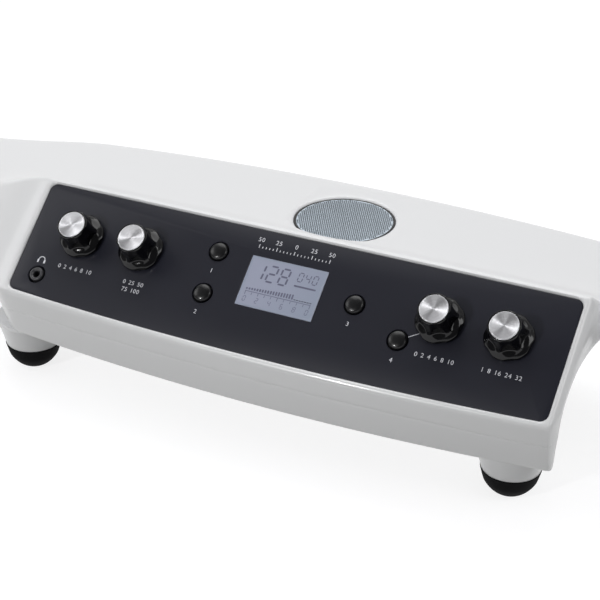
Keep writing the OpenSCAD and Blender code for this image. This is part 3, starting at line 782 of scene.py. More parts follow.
def section_rows(x):
    """The outer and the inner row of points at x, and the parting places"""
    outline, front, back = section(x)
    centre, _ = middle(outline)
    share = tip_share(x)
    outer = [centre + (p - centre) * share for p in outline]
    centre, half = middle(outer)
    inner_x = x - math.copysign(WALL * smooth(abs(x), 0, 40), x)
    inner = [Vector((centre.x + (p.x - centre.x) * (1 - WALL / half.x),
                     centre.y + (p.y - centre.y) * (1 - WALL / half.y))) for p in outer]
    return ([placed(x, p.x, p.y) for p in outer], [placed(inner_x, p.x, p.y) for p in inner],
            front, back)


def section_places():
    """Where the sections lie along x: close together where the outline turns fast"""
    console = [144 * i / 30 for i in range(1, 31)]
    turn = [math.radians(a) for a in range(6, 91, 6)]
    flank = [FLANK_X - FLANK_ROUND * (1 - math.sin(a)) for a in turn]
    fillet = [FLANK_X + FLANK_FILLET * (1 - math.cos(a)) for a in turn]
    wing_start = FLANK_X + FLANK_FILLET
    tip_start = WING_END - TIP_ROUND
    wing = [mix(wing_start, tip_start, i / 22) for i in range(1, 23)]
    tip = [WING_END - TIP_ROUND * (1 - math.sin(math.radians(a)))
           for a in (8, 16, 24, 32, 40, 48, 54, 60, 66, 72, 80, 90)]
    shoulder = [mix(144, SHOULDER_END, i / 24) for i in range(1, 25)]
    left_wing = [mix(SHOULDER_END, tip_start, i / 8) for i in range(1, 9)]
    left = console + shoulder + left_wing + tip
    return [-x for x in reversed(left)] + [0] + console + flank + fillet + wing + tip


def sheet_with_ends(bm, rows):
    """A sheet whose two end rows are closed by flat faces"""
    verts = loft(bm, rows)
    width = len(rows[0])
    for end in (verts[:width], verts[-width:]):
        bmesh.ops.contextual_create(bm, geom=list(end))
    return verts


def shell_half(part, seam):
    """One half of the housing: an outer and an inner sheet, joined along their rims"""
    outer_rows, inner_rows = [], []
    for x in section_places():
        outer, inner, front, back = section_rows(x)
        if part == "top":
            keep = list(range(front, back + 1))
        else:
            keep = list(range(back, len(outer))) + list(range(front + 1))
        outer_rows.append([outer[i] for i in keep])
        inner_rows.append([inner[i] for i in keep])
    bm = bmesh.new()
    verts = sheet_with_ends(bm, outer_rows)
    width = len(outer_rows[0])
    rim = [bm.edges.get(pair) for line in (verts[::width], verts[width - 1::width])
           for pair in zip(line, line[1:])]
    sheet_with_ends(bm, inner_rows)
    bmesh.ops.bridge_loops(bm, edges=[e for e in bm.edges if e.is_boundary])
    bmesh.ops.recalc_face_normals(bm, faces=bm.faces)
    bmesh.ops.bevel(bm, geom=rim, offset=seam, affect="EDGES", segments=2, profile=0.5,
                    material=-1, clamp_overlap=True)
    return clean(bm, 1e-5)


def panel_outline(grow=0.0):
    """The panel's outline: straight top and sides, a bowed bottom edge, round corners"""
    hw = PANEL_W / 2 + grow
    r = PANEL_CORNER + grow
    top, side = PANEL_V_TOP + grow, PANEL_V_SIDE - grow
    sag = PANEL_V_SIDE - PANEL_V_MID
    bottom = []
    for i in range(1, 32):
        u = (hw - r) * (i / 16 - 1)
        bottom.append((u, side - sag * (1 - (u / (hw - r)) ** 2)))
    outline = (arc((hw - r, top - r), r, 0, 90, 12) + arc((r - hw, top - r), r, 90, 180, 12)
               + arc((r - hw, side + r), r, 180, 270, 12) + bottom
               + arc((hw - r, side + r), r, 270, 360, 12))
    return [(u + PANEL_U0, v) for u, v in outline]


def panel_solid(levels):
    """A solid on the panel's outline through pairs of height and growth"""
    return stack([at_height(panel_outline(grow), n) for n, grow in levels])


def on_panel(bm):
    return moved(bm, PANEL)


def on_back(bm, x=0):
    return moved(bm, BACK @ Matrix.Translation((x, 0, 0)))


def loop_holes():
    """Cutters for the two legs of the volume loop"""
    legs = []
    for side in (-1, 1):
        turned = Matrix.Rotation(math.pi / 2, 4, "Y")
        leg = moved(cylinder(TUBE_R + 0.05, 0, 30, 40), turned)
        legs.append(shifted(leg, -WING_END - 1, WING_MID_Y + side * LOOP_LEGS, LOOP_Z))
    return merged(legs)


def build_top_shell():
    look = bpy.context.scene.housing_look
    bm = shell_half("top", look.seam / MM)
    ledge = difference(panel_solid([(-PANEL_T - LEDGE_T, 1.6), (-0.6, 1.6)]),
                       panel_solid([(-PANEL_T - LEDGE_T - 1, -LEDGE_W), (1, -LEDGE_W)]))
    boss = revolve([(GRILLE_R, 50), (GRILLE_R + 3, 50), (GRILLE_R + 3, DECK_H - 1),
                    (GRILLE_R, DECK_H - 1), (GRILLE_R, 50)], 96)
    collar = on_back(slab((REAR_SIZE[0] + 4, REAR_SIZE[1] + 4), REAR_CORNER + 2, -5, -0.8))
    bm = union(bm, on_panel(ledge), shifted(boss, y=SPEAKER_Y), collar)
    posts = merged([shifted(cylinder(POST_R, POST_JOINT_Z, deck_z(x) - 1.2, 32), x, y)
                    for x, y in POSTS])
    bm = union(bm, posts)
    recess = panel_solid([(-PANEL_T, 0.15), (-0.25, 0.15), (0.05, 0.3), (0.35, 0.6), (0.58, 1.0),
                          (0.72, 1.7), (6, 1.7)])
    opening = panel_solid([(-20, -LEDGE_W), (1, -LEDGE_W)])
    mouth = revolve([(0, 40), (GRILLE_R, 40), (GRILLE_R, DECK_H - 1.0), (GRILLE_R + 0.18, DECK_H - 0.6),
                     (GRILLE_R + 0.6, DECK_H - 0.25), (GRILLE_R + 1.3, DECK_H - 0.02),
                     (GRILLE_R + 2.4, DECK_H + 0.4), (0, 70)], 120)
    rear = on_back(slab(REAR_SIZE, REAR_CORNER, -REAR_RECESS, 8))
    window = on_back(slab((REAR_SIZE[0] - 6, REAR_SIZE[1] - 6), REAR_CORNER - 2, -12, 8))
    seat = collar_height()
    socket = merged([shifted(cylinder(SOCKET_R, 30, seat + 0.5, 64), ROD_X, WING_MID_Y)])
    collar_seat = shifted(cylinder(SOCKET_R + 2.3, seat, 70, 64), ROD_X, WING_MID_Y)
    bores = merged([shifted(cylinder(SCREW_R, POST_JOINT_Z - 1, SCREW_TOP + 2, 24), x, y)
                    for x, y in POSTS])
    bm = difference(bm, on_panel(recess), on_panel(opening), shifted(mouth, y=SPEAKER_Y), rear,
                    window, socket, collar_seat, bores, loop_holes())
    finish_piece(bm, "housing_top", finish("housing_white"), nodes=["top_shell"],
                 angle=28)


def leg_places():
    """The middle of each leg, from its rubber foot in the frame"""
    places = []
    for name in FEET:
        low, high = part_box(name)
        places.append(((low.x + high.x) / 2 / MM, (low.y + high.y) / 2 / MM))
    return places


def build_bottom_shell():
    look = bpy.context.scene.housing_look
    bm = shell_half("bottom", look.seam / MM)
    for x, y in leg_places():
        leg = revolve(softened([(0, LEG_BOOT), (LEG_R, LEG_BOOT, 0.5), (LEG_ROOT_R - 1.2, -2.4, 6),
                                (LEG_ROOT_R + 0.4, 0.4), (LEG_ROOT_R, 2), (0, 2)], 6), 72)
        bm = union(bm, shifted(leg, x, y))
    boss = cylinder(STAND_BOSS_R, 1, STAND_BOSS_TOP)
    bm = union(bm, boss, merged([shifted(cylinder(POST_R, SCREW_HEAD_Z, POST_JOINT_Z, 32), x, y)
                                 for x, y in POSTS]))
    cuts = [revolve(softened([(0, -1), (STAND_R + 0.9, -1), (STAND_R + 0.4, 0.0, 0.5), (STAND_R, 0.7),
                              (STAND_R, 30), (0, 30)]), 64)]
    cuts.append(merged([shifted(cylinder(SCREW_R + 0.15, -2, POST_JOINT_Z + 1, 24), x, y)
                        for x, y in POSTS]))
    cuts.append(merged([shifted(cylinder(SCREW_HEAD_R + 0.2, -2, 2.6, 40), x, y)
                        for x, y in POSTS]))
    cuts.append(merged([shifted(cylinder(4, LEG_BOOT - 1, -6, 32), x, y)
                        for x, y in leg_places()]))
    bm = difference(bm, *cuts, loop_holes())
    finish_piece(bm, "housing_bottom", finish("housing_white"),
                 nodes=["bottom_shell"], angle=28)


# ---------------------------------------------------------------- panel, print and display

def joint_uv(name):
    """Where a joint's axis meets the panel, in panel millimetres"""
    joint = next(j for j in frame["joints"] if j["name"] == name)
    place = PANEL.inverted() @ (Vector(joint["pos_m"]) / MM)
    return place.x, place.y


KNOB_JOINTS = {"volume": "volume_turn", "pitch_correction": "pitch_correction_turn",
               "amount": "amount_turn", "presets": "presets_turn"}
BUTTON_UV = {"scale": (-38.6, 11), "root": (-38.6, -11.9), "setup": (38.6, 0.2),
             "effect": (64.9, -12)}


def hole_cutter(radius, edge=0.25):
    """A hole through the panel with a small chamfer at its mouth"""
    return revolve([(0, -4), (radius, -4), (radius, -edge), (radius + edge, 0.001),
                    (radius + edge, 1), (0, 1)])


def build_control_panel():
    bm = panel_solid([(-PANEL_T, 0), (-0.3, 0), (-0.08, -0.08), (0, -0.3)])
    window = stack([at_height(slab_outline(DISPLAY + Vector((2 * g, 2 * g)), 0.5 + g), n)
                    for n, g in ((-4, 0), (-0.3, 0), (0.001, 0.3), (1, 0.3))])
    holes = [shifted(hole_cutter(BUSH_R + 0.1), *joint_uv(j)) for j in KNOB_JOINTS.values()]
    holes += [shifted(hole_cutter(BUTTON_D / 2 + 0.55, 0.3), *uv) for uv in BUTTON_UV.values()]
    holes.append(shifted(hole_cutter(4.6, 0.3), *JACK_UV))
    bm = difference(bm, window, merged(holes))
    finish_piece(bm, "control_panel_plate", finish("panel_black"),
                 nodes=["control_panel"], place=PANEL, angle=25)


def bar(length, width, turn=0.0, height=PRINT_T):
    """A stroke about the origin"""
    bm = slab((length, width), width * 0.45, -height / 2, height / 2)
    return moved(bm, Matrix.Rotation(turn, 4, "Z"))


def arc_print(radius, width, start, end):
    """A printed arc, with its angles in degrees"""
    steps = max(6, int(abs(end - start) / 12))
    outer = arc((0, 0), radius + width / 2, start, end, steps)
    inner = arc((0, 0), radius - width / 2, end, start, steps)
    return stack([at_height(outer + inner, -PRINT_T / 2), at_height(outer + inner, PRINT_T / 2)])


def headphone_sign():
    """A plain headphone: a band over two pads"""
    band = arc_print(1.75, 0.42, 0, 180)
    pads = [shifted(slab((0.95, 1.9), 0.35, -PRINT_T / 2, PRINT_T / 2), side * 1.85, -0.75)
            for side in (-1, 1)]
    return merged([band] + pads)


TICK_STEP = 1.9


def tuner_scale():
    """Ticks and numbers about zero, in the space over the display"""
    marks = []
    for i in range(-10, 11):
        tall = 2.0 if i % 5 == 0 else 1.1
        marks.append(shifted(bar(tall, 0.36, UPRIGHT), i * TICK_STEP, 17.6 + tall / 2))
    for i, number in ((-10, "50"), (-5, "25"), (0, "0"), (5, "25"), (10, "50")):
        marks.append(shifted(text_shape(number, 2.3), i * TICK_STEP, 22.0))
    return marks


LABELS = (("0 2 4 6 8 10", -110.6, -15.7), ("0 25 50", -76.4, -15.7), ("75 100", -76.4, -19.6),
          ("1", -38.6, 0.4), ("2", -38.6, -22.1), ("3", 38.6, -10.1), ("4", 65.0, -22.3),
          ("0 2 4 6 8 10", 84.6, -16.5), ("1 8 16 24 32", 117.3, -16.2))


def build_print():
    marks = [shifted(text_shape(text, LABEL_HEIGHT), u, v) for text, u, v in LABELS]
    marks += tuner_scale()
    marks.append(shifted(headphone_sign(), -130.6, -14.9))
    start, end = Vector((69.4, -9.3)), Vector((74.4, -6.1))
    run = end - start
    marks.append(shifted(bar(run.length, 0.3, math.atan2(run.y, run.x)), *((start + end) / 2)))
    finish_piece(merged(marks), "panel_print", finish("print_white"),
                 place=PANEL @ Matrix.Translation((0, 0, PRINT_N)), angle=40)


SEGMENTS = {"0": "abcdef", "1": "bc", "2": "abged", "3": "abgcd", "4": "fgbc", "5": "afgcd",
            "6": "afgedc", "7": "abc", "8": "abcdefg", "9": "abfgcd"}


def segment_digit(digit, height):
    """A seven-segment digit about the origin"""
    width = height * 0.5
    stroke = height * 0.11
    places = {"a": (0, height / 2, 0), "g": (0, 0, 0), "d": (0, -height / 2, 0),
              "f": (-width / 2, height / 4, 1), "b": (width / 2, height / 4, 1),
              "e": (-width / 2, -height / 4, 1), "c": (width / 2, -height / 4, 1)}
    strokes = []
    for letter in SEGMENTS[digit]:
        x, y, upright = places[letter]
        length = height / 2 - stroke * 1.25 if upright else width - stroke * 0.9
        turn = UPRIGHT if upright else 0
        strokes.append(shifted(bar(length, stroke, turn, SEGMENT_T), x, y))
    shape = merged(strokes)
    lean = Matrix.Identity(4)
    lean[0][1] = 0.08
    return moved(shape, lean)


def build_display():
    """The display: window, a pale border that paints a highlight along its edge, and a meter with digits
    """
    window_top = -0.05
    window = slab((DISPLAY.x - 0.1, DISPLAY.y - 0.1), 0.4, -1.25, window_top - 0.03, 0.12)
    finish_piece(window, "display_glass_window", finish("display"),
                 nodes=["display_window"], place=PANEL, angle=30)
    # A pale ring round the window: a painted highlight along the recess edge
    outer, inner = (DISPLAY.x - 0.5, DISPLAY.y - 0.5), (DISPLAY.x - 2.2, DISPLAY.y - 2.2)
    low, high = window_top - 0.06, window_top
    border = difference(slab(outer, 0.3, low, high), slab(inner, 0.8, low - 1, high + 1))
    finish_piece(border, "display_border", finish("display_border"), place=PANEL)
    marks = [shifted(segment_digit(digit, 8.4), -13.8 + 6.6 * i, 5.6) for i, digit in enumerate("128")]
    marks += [shifted(segment_digit(digit, 4.6), 7.6 + 3.9 * i, 7.4) for i, digit in enumerate("040")]
    marks.append(shifted(bar(11.6, 0.9, 0, SEGMENT_T), 11.5, 2.6))
    for i in range(25):
        tall = 1.0 + 2.4 * (i / 24) if i < 18 else 0.4
        meter = bar(tall, 0.85, UPRIGHT, SEGMENT_T)
        marks.append(shifted(meter, -17.2 + 1.43 * i, -4.6 + tall / 2))
    marks.append(shifted(bar(35.2, 0.3, 0, SEGMENT_T), 0, -5.4))
    for i in range(11):
        tick = bar(1.3 if i % 5 else 2.0, 0.3, UPRIGHT, SEGMENT_T)
        marks.append(shifted(tick, -17.3 + 3.46 * i, -6.4))
    for i in range(6):
        marks.append(shifted(segment_digit(str(2 * i % 10), 2.6), -16.8 + 6.7 * i, -9.4))
    finish_piece(merged(marks), "display_segments", finish("segments"),
                 place=PANEL @ Matrix.Translation((0, 0, window_top - 0.01)))


# ---------------------------------------------------------------- knobs and buttons

CORNER_TURN = math.radians(20)
FLUTES = 6
SKIRT_FLUTE = (KNOB_R + 23.5, 24.1)      # place of the flute's middle and its radius
BODY_FLUTE = (KNOB_R + 4.9, 9.2)
BODY_FLUTE_Z = 3.4
NO_FLUTE = 99                            # a reach that no knob comes near


def soft_min(a, b, blend):
    """The lesser of two lengths, rounded off where they meet"""
    h = max(blend - abs(a - b), 0) / blend
    return min(a, b) - h * h * blend / 4


def flute_reach(flute, angle):
    """How far out a flute lets the knob reach at an angle from the flute's middle"""
    place, radius = flute
    across = place * math.sin(angle)
    if abs(across) >= radius:
        return NO_FLUTE
    return place * math.cos(angle) - math.sqrt(radius ** 2 - across ** 2)


def knob_shape(blend):
    r = KNOB_R
    outside = softened([(0, KNOB_H - 0.7), (INLAY_R + 0.02, KNOB_H - 0.7),
                        (INLAY_R + 0.02, KNOB_H - 0.1, 0.2),
                        (INLAY_R + 0.25, KNOB_H, 0.2), (r - 4.4, KNOB_H, 0.35), (r - 3.9, 14.2, 0.8),
                        (r - 3.7, 11, 2), (r - 3.4, 7.6, 2), (r - 3.0, 5.4, 1.2), (r - 2.2, 3.9, 0.9),
                        (r - 0.9, 2.9, 0.8), (r - 0.05, 2.1, 0.7), (r, KNOB_N + 0.5, 0.3),
                        (r - 0.4, KNOB_N, 0.3), (7, KNOB_N), (7, 4.6), (SHAFT_R + 0.02, 4.6),
                        (SHAFT_R + 0.02, KNOB_H - 2.4), (0, KNOB_H - 2.4)], 5)
    bm = revolve(outside, 240)
    period = TURN / FLUTES
    for vert in bm.verts:
        radius = vert.co.to_2d().length
        if radius < INLAY_R + 0.2:
            continue
        turn = math.atan2(vert.co.y, vert.co.x) - CORNER_TURN - period / 2
        angle = (turn + period / 2) % period - period / 2
        reach = soft_min(radius, flute_reach(SKIRT_FLUTE, angle), blend)
        fade = smooth(vert.co.z, BODY_FLUTE_Z - 0.8, BODY_FLUTE_Z + 1.6)
        body = flute_reach(BODY_FLUTE, angle) + (1 - fade) * 4
        reach = soft_min(reach, body, blend)
        reach = max(reach, INLAY_R + 0.12)
        vert.co.x *= reach / radius
        vert.co.y *= reach / radius
    return clean(bm)


def inlay_shape():
    """The inlay: a shallow dish with a turned rim, under polar coordinates"""
    top, r = KNOB_H, INLAY_R
    profile = softened([(0, top - 0.16), (2.0, top - 0.155), (4.0, top - 0.12), (6.0, top - 0.06),
                        (6.35, top - 0.04, 0.1), (6.55, top + 0.0, 0.1), (r - 0.1, top - 0.02, 0.12),
                        (r, top - 0.2), (r, top - 0.7), (0, top - 0.7)], 4)
    bm = revolve(profile, 128)
    layer = bm.loops.layers.uv.new("polar")
    for face in bm.faces:
        flat = face.calc_center_median()
        facing = math.atan2(flat.y, flat.x)
        for loop in face.loops:
            co = loop.vert.co
            turn = math.atan2(co.y, co.x) if co.to_2d().length > 1e-4 else facing
            turn = facing + (turn - facing + math.pi) % TURN - math.pi
            loop[layer].uv = (turn / TURN + 0.5, co.to_2d().length / INLAY_R)
    return bm


def build_knobs():
    look = bpy.context.scene.control_look
    for knob, joint in KNOB_JOINTS.items():
        place = PANEL @ Matrix.Translation((*joint_uv(joint), 0))
        body = f"{knob}_knob_set"
        finish_piece(knob_shape(look.flute_blend / MM), f"{knob}_knob_body", finish("gloss_black"),
                     body, [f"{knob}_knob"], place, 38)
        finish_piece(inlay_shape(), f"{knob}_knob_disc", finish("inlay"), body,
                     [f"{knob}_knob_inlay"], place, 30)


def button_shape():
    r = BUTTON_D / 2
    dome = [(r - 0.35 - 3.9 * (1 - math.cos(a)), 0.75 + 1.1 * math.sin(a))
            for a in (math.radians(t) for t in range(12, 80, 10))]
    profile = softened([(0, -6.4), (r - 1, -6.4), (r - 1, -3.4), (6.2, -3.4), (6.2, -2.15),
                        (r, -2.15), (r, 0.2, 0.3)], 4)
    profile += dome + [(0, 1.86)]
    return revolve(profile, 72)


def build_buttons():
    for button, uv in BUTTON_UV.items():
        place = PANEL @ Matrix.Translation((*uv, 0))
        finish_piece(button_shape(), f"{button}_button_cap", finish("button_black"),
                     f"{button}_button_set", [f"{button}_button"], place, 30)


def build_screws():
    """Four screws under the housing, with a cross recess in each head"""
    screws = []
    for x, y in POSTS:
        screw = union(cylinder(SCREW_R - 0.05, SCREW_HEAD_Z + 1, SCREW_TOP, 24),
                      revolve(softened([(0, SCREW_HEAD_Z), (SCREW_HEAD_R, SCREW_HEAD_Z, 0.7),
                                        (SCREW_HEAD_R, SCREW_HEAD_Z + 1.5), (0, SCREW_HEAD_Z + 1.5)]), 40))
        for turn in (0.4, 0.4 + math.pi / 2):
            slot = slab((SCREW_HEAD_R * 1.3, 0.62), 0.1, SCREW_HEAD_Z - 1, SCREW_HEAD_Z + 0.9)
            screw = difference(screw, moved(slot, Matrix.Rotation(turn, 4, "Z")))
        screws.append(shifted(screw, x, y))
    finish_piece(merged(screws), "housing_screw_heads", finish("zinc"),
                 nodes=["housing_screws"])


def build_contacts():
    """The tongue in the USB socket and the pin in the power inlet"""
    tongue = slab((5.2, 1.9), 0.3, -13.9, -1.2, 0.2)
    finish_piece(on_back(tongue, USB_X), "usb_tongue", finish("module_grey"))
    pin = revolve(softened([(0, -11.9), (1, -11.9), (1, -1.4, 0.6), (0, -1.2)]), 24)
    finish_piece(on_back(pin, POWER_X), "inlet_pin", finish("steel"))


def build_headphone_jack():
    bush = revolve(softened([(1.8, -9.4), (1.8, 0.2), (2.5, 0.9, 0.15), (3.3, 0.9, 0.25),
                             (3.65, 0.5, 0.2), (3.65, -4), (4.4, -4), (4.4, -11), (1.8, -11),
                             (1.8, -9.4)]), 72)
    finish_piece(bush, "headphone_jack_bush", finish("jack_black"),
                 nodes=["headphone_jack"], place=PANEL @ Matrix.Translation((*JACK_UV, 0)))


# ---------------------------------------------------------------- loudspeaker

def build_grille():
    look = bpy.context.scene.grille_look
    pitch, hole = look.pitch / MM, look.hole / MM
    radius = GRILLE_R - GRILLE_GAP
    low, high = GRILLE_TOP - GRILLE_SHEET, GRILLE_TOP
    plate = revolve([(0, low), (radius - 0.15, low), (radius, low + 0.1), (radius, high - 0.12),
                     (radius - 0.12, high), (0, high)], 120)
    cutters = []
    reach = int(radius / pitch) + 2
    for j in range(-reach, reach + 1):
        for i in range(-reach, reach + 1):
            x, y = pitch * (i + 0.5 * (j % 2)), pitch * j * math.sqrt(3) / 2
            if math.hypot(x, y) < radius - hole / 2 - GRILLE_BORDER:
                cutters.append(shifted(cylinder(hole / 2, low - 0.5, high + 0.5, look.sides), x, y))
    plate = difference(plate, merged(cutters))
    for vert in plate.verts:
        fall = smooth(vert.co.to_2d().length, GRILLE_FLAT_R, 2 * radius - GRILLE_FLAT_R)
        vert.co.z -= 2 * GRILLE_ROLL * fall
    finish_piece(plate, "grille_plate", finish("grille"),
                 nodes=["speaker_grille"], place=Matrix.Translation((0, SPEAKER_Y, 0)), angle=30)
    ledge = low - GRILLE_ROLL - 0.02
    ring = revolve(softened([(GRILLE_R - 3.2, 50), (GRILLE_R - 0.05, 50),
                             (GRILLE_R - 0.05, GRILLE_TOP - 0.4, 0.3),
                             (radius + 0.04, GRILLE_TOP - 0.4, 0.2), (radius + 0.04, ledge),
                             (GRILLE_R - 3.2, ledge), (GRILLE_R - 3.2, 50)]), 120)
    finish_piece(ring, "grille_ring", finish("gloss_black"), nodes=["speaker_ring"],
                 place=Matrix.Translation((0, SPEAKER_Y, 0)))


# ---------------------------------------------------------------- feet and antennas

def build_feet():
    for name, (x, y) in zip(FEET, leg_places()):
        r, z = LEG_R, LEG_BOOT
        grip = r + (LEG_ROOT_R - r) * BOOT_GRIP / (2 - z)
        shape = revolve(softened([(0, -7), (3.95, -7), (3.95, z), (r - 0.2, z),
                                  (grip - 0.1, z + BOOT_GRIP), (grip + 0.4, z + BOOT_GRIP, 0.2),
                                  (r + 0.4, z, 0.5), (r - 0.2, z - 2, 1), (r - 1.7, z - 4.4, 1.5),
                                  (r - 3.6, z - 6.6, 1.5), (r - 5.6, z - 8.2, 1),
                                  (r - 7.2, z - 9, 0.6), (0, z - 9)]))
        finish_piece(shape, f"{name}_boot", finish("rubber"), nodes=[name],
                     place=Matrix.Translation((x, y, 0)))


def build_pitch_antenna():
    r = TUBE_R
    dome = [(r * math.cos(a), ROD_TOP - r + r * math.sin(a))
            for a in (math.radians(t) for t in range(0, 90, 8))]
    rod = revolve([(0, 35), (r - 1, 34), (r - 0.15, 34), (r, 34.2)] + dome + [(0, ROD_TOP)], 48)
    place = Matrix.Translation((ROD_X, WING_MID_Y, 0))
    finish_piece(rod, "pitch_rod", finish("steel"), nodes=["pitch_antenna"],
                 place=place)
    seat = collar_height()
    collar = revolve(softened([(0, 34), (r + 0.02, 34), (r + 0.02, seat + 3.1, 0.2),
                               (SOCKET_R, seat + 3.1, 0.6),
                               (SOCKET_R + 2, seat + 1.8, 0.6), (SOCKET_R + COLLAR_LIP, seat),
                               (SOCKET_R - 0.05, seat), (SOCKET_R - 0.05, 31), (0, 31)]), 64)
    finish_piece(collar, "pitch_rod_collar", finish("jack_black"),
                 nodes=["pitch_antenna_socket"], place=place)


def loop_line():
    """The volume loop's middle line, as x, y and heading in radians"""
    start = -WING_END + 26
    side = LOOP_LEGS + LOOP_FILLET
    centre_x = LOOP_NECK_X - math.sqrt((LOOP_R + LOOP_FILLET) ** 2 - side ** 2)
    turn = math.atan2(side, LOOP_NECK_X - centre_x)
    line = [(start, LOOP_LEGS, math.pi), (-WING_END - 4, LOOP_LEGS, math.pi)]
    for i in range(13):
        a = mix(1.5 * math.pi, math.pi + turn, i / 12)
        line.append((LOOP_NECK_X + LOOP_FILLET * math.cos(a), side + LOOP_FILLET * math.sin(a),
                     a - math.pi / 2))
    for i in range(1, 96):
        a = mix(turn, TURN - turn, i / 96)
        line.append((centre_x + LOOP_R * math.cos(a), LOOP_R * math.sin(a), a + math.pi / 2))
    for i in range(12, -1, -1):
        a = mix(0.5 * math.pi, math.pi - turn, i / 12)
        line.append((LOOP_NECK_X + LOOP_FILLET * math.cos(a), LOOP_FILLET * math.sin(a) - side,
                     a - math.pi / 2))
    return line + [(-WING_END - 4, -LOOP_LEGS, 0), (start, -LOOP_LEGS, 0)]


def build_volume_loop():
    sides = 32
    rings = []
    for x, y, heading in loop_line():
        ring = []
        for k in range(sides):
            a = TURN * (k + 0.5) / sides
            ring.append((x - TUBE_R * math.cos(a) * math.sin(heading),
                         y + TUBE_R * math.cos(a) * math.cos(heading), TUBE_R * math.sin(a)))
        rings.append(ring)
    tube = shifted(stack(rings), 0, WING_MID_Y, LOOP_Z)
    finish_piece(tube, "volume_loop_tube", finish("steel"), nodes=["volume_loop"])
    ferrules = []
    r = TUBE_R
    for side in (-1, 1):
        ferrule = revolve(softened([(r + 0.01, 0), (r + 2.6, 0), (r + 2.2, 3, 0.8), (r + 1, 4.4, 0.5),
                                    (r + 0.01, 4.4, 0.1), (r + 0.01, 0)]), 48)
        turned = Matrix.Rotation(-math.pi / 2, 4, "Y")
        ferrules.append(shifted(moved(ferrule, turned), -WING_END, WING_MID_Y + side * LOOP_LEGS, LOOP_Z))
    finish_piece(merged(ferrules), "volume_loop_collars", finish("jack_black"),
                 nodes=["volume_loop_ferrules"])


# ---------------------------------------------------------------- stage

CAMERA_PLACE = (0.3137398, -0.6804347, 0.4295098)
CAMERA_TURN = (61.5407, -0.4686, 25.8023)
CAMERA_LENS = 99.80


def build_camera():
    data = bpy.data.cameras.new("camera")
    data.sensor_width = 36
    data.lens = CAMERA_LENS
    camera = add_object("camera", data)
    camera.location = CAMERA_PLACE
    camera.rotation_euler = [math.radians(a) for a in CAMERA_TURN]
    bpy.context.scene.camera = camera


# Each lamp's size and place in metres
LAMPS = {"overhead": ((1.2, 1.0), (-0.3, 0.5, 1.25)), "left": ((0.8, 0.8), (-1.35, -0.5, 0.95)),
         "right": ((0.6, 0.6), (1.1, -0.1, 0.8)), "front": ((0.08, 0.08), (-0.45, -1.3, 0.7))}
LAMP_TARGET = (0, 0, 0.03)


def lamp(name, power, size, place):
    data = bpy.data.lights.new(name, "AREA")
    data.shape = "RECTANGLE"
    data.size, data.size_y = size
    data.energy = power
    item = add_object(name, data)
    item.location = place
    item.rotation_euler = (Vector(place) - Vector(LAMP_TARGET)).to_track_quat("Z", "Y").to_euler()


def seen_directly(tree):
    """One where a ray comes from the camera, a mirror or a glass, and nought elsewhere"""
    path = tree.nodes.new("ShaderNodeLightPath")
    first = tree.nodes.new("ShaderNodeMath")
    first.operation = "MAXIMUM"
    second = tree.nodes.new("ShaderNodeMath")
    second.operation = "MAXIMUM"
    tree.links.new(path.outputs["Is Camera Ray"], first.inputs[0])
    tree.links.new(path.outputs["Is Glossy Ray"], first.inputs[1])
    tree.links.new(first.outputs[0], second.inputs[0])
    tree.links.new(path.outputs["Is Transmission Ray"], second.inputs[1])
    return second.outputs[0]


def floor_finish():
    """A near-white floor that keeps a faint shadow"""
    material = bpy.data.materials.new("stage_floor")
    material.use_nodes = True
    tree = material.node_tree
    tree.nodes.clear()
    out = tree.nodes.new("ShaderNodeOutputMaterial")
    plain = tree.nodes.new("ShaderNodeBsdfDiffuse")
    plain.inputs["Color"].default_value = (0.38, 0.38, 0.37, 1)
    shadowed = tree.nodes.new("ShaderNodeBsdfDiffuse")
    shadowed.inputs["Color"].default_value = (0.3, 0.3, 0.31, 1)
    glow = tree.nodes.new("ShaderNodeEmission")
    glow.inputs["Strength"].default_value = 0.82
    both = tree.nodes.new("ShaderNodeAddShader")
    choose = tree.nodes.new("ShaderNodeMixShader")
    tree.links.new(shadowed.outputs[0], both.inputs[0])
    tree.links.new(glow.outputs[0], both.inputs[1])
    tree.links.new(seen_directly(tree), choose.inputs["Fac"])
    tree.links.new(plain.outputs[0], choose.inputs[1])
    tree.links.new(both.outputs[0], choose.inputs[2])
    tree.links.new(choose.outputs[0], out.inputs["Surface"])
    return material


def build_floor():
    bm = bmesh.new()
    bmesh.ops.create_grid(bm, x_segments=4, y_segments=4, size=20)
    mesh = mesh_of(bm, "floor")
    mesh.transform(Matrix.Translation((0, 0, CAD_BOUNDS[0][2])))
    mesh.materials.append(floor_finish())
    add_object("floor", mesh)


def build_world(strength):
    """Light from all round: a pale backdrop behind the object, and a dim room in front of it"""
    world = bpy.data.worlds.new("studio")
    world.use_nodes = True
    tree = world.node_tree
    back = tree.nodes["Background"]
    where = tree.nodes.new("ShaderNodeTexCoord")
    towards = tree.nodes.new("ShaderNodeVectorMath")
    towards.operation = "DOT_PRODUCT"
    towards.inputs[1].default_value = (0, 0.5, -0.22)
    middle_grey = tree.nodes.new("ShaderNodeMath")
    middle_grey.operation = "ADD"
    middle_grey.inputs[1].default_value = 0.5
    tree.links.new(where.outputs["Generated"], towards.inputs[0])
    tree.links.new(towards.outputs["Value"], middle_grey.inputs[0])
    tree.links.new(ramp(tree, middle_grey.outputs[0], 0.16, 1.0, 0.2, 0.86), back.inputs["Color"])
    back.inputs["Strength"].default_value = strength
    bpy.context.scene.world = world


# ---------------------------------------------------------------- operators

class THEREMIN_OT_stage(bpy.types.Operator):
    """Set the camera, the lamps and the floor"""
    bl_idname = "theremin.stage"
    bl_label = "Stage"

    def execute(self, context):
        look = context.scene.stage_look
        build_camera()
        build_floor()
        build_world(look.sky)
        for name, (size, place) in LAMPS.items():
            lamp(name, getattr(look, name), size, place)
        context.scene.view_settings.view_transform = "Standard"
        return {"FINISHED"}


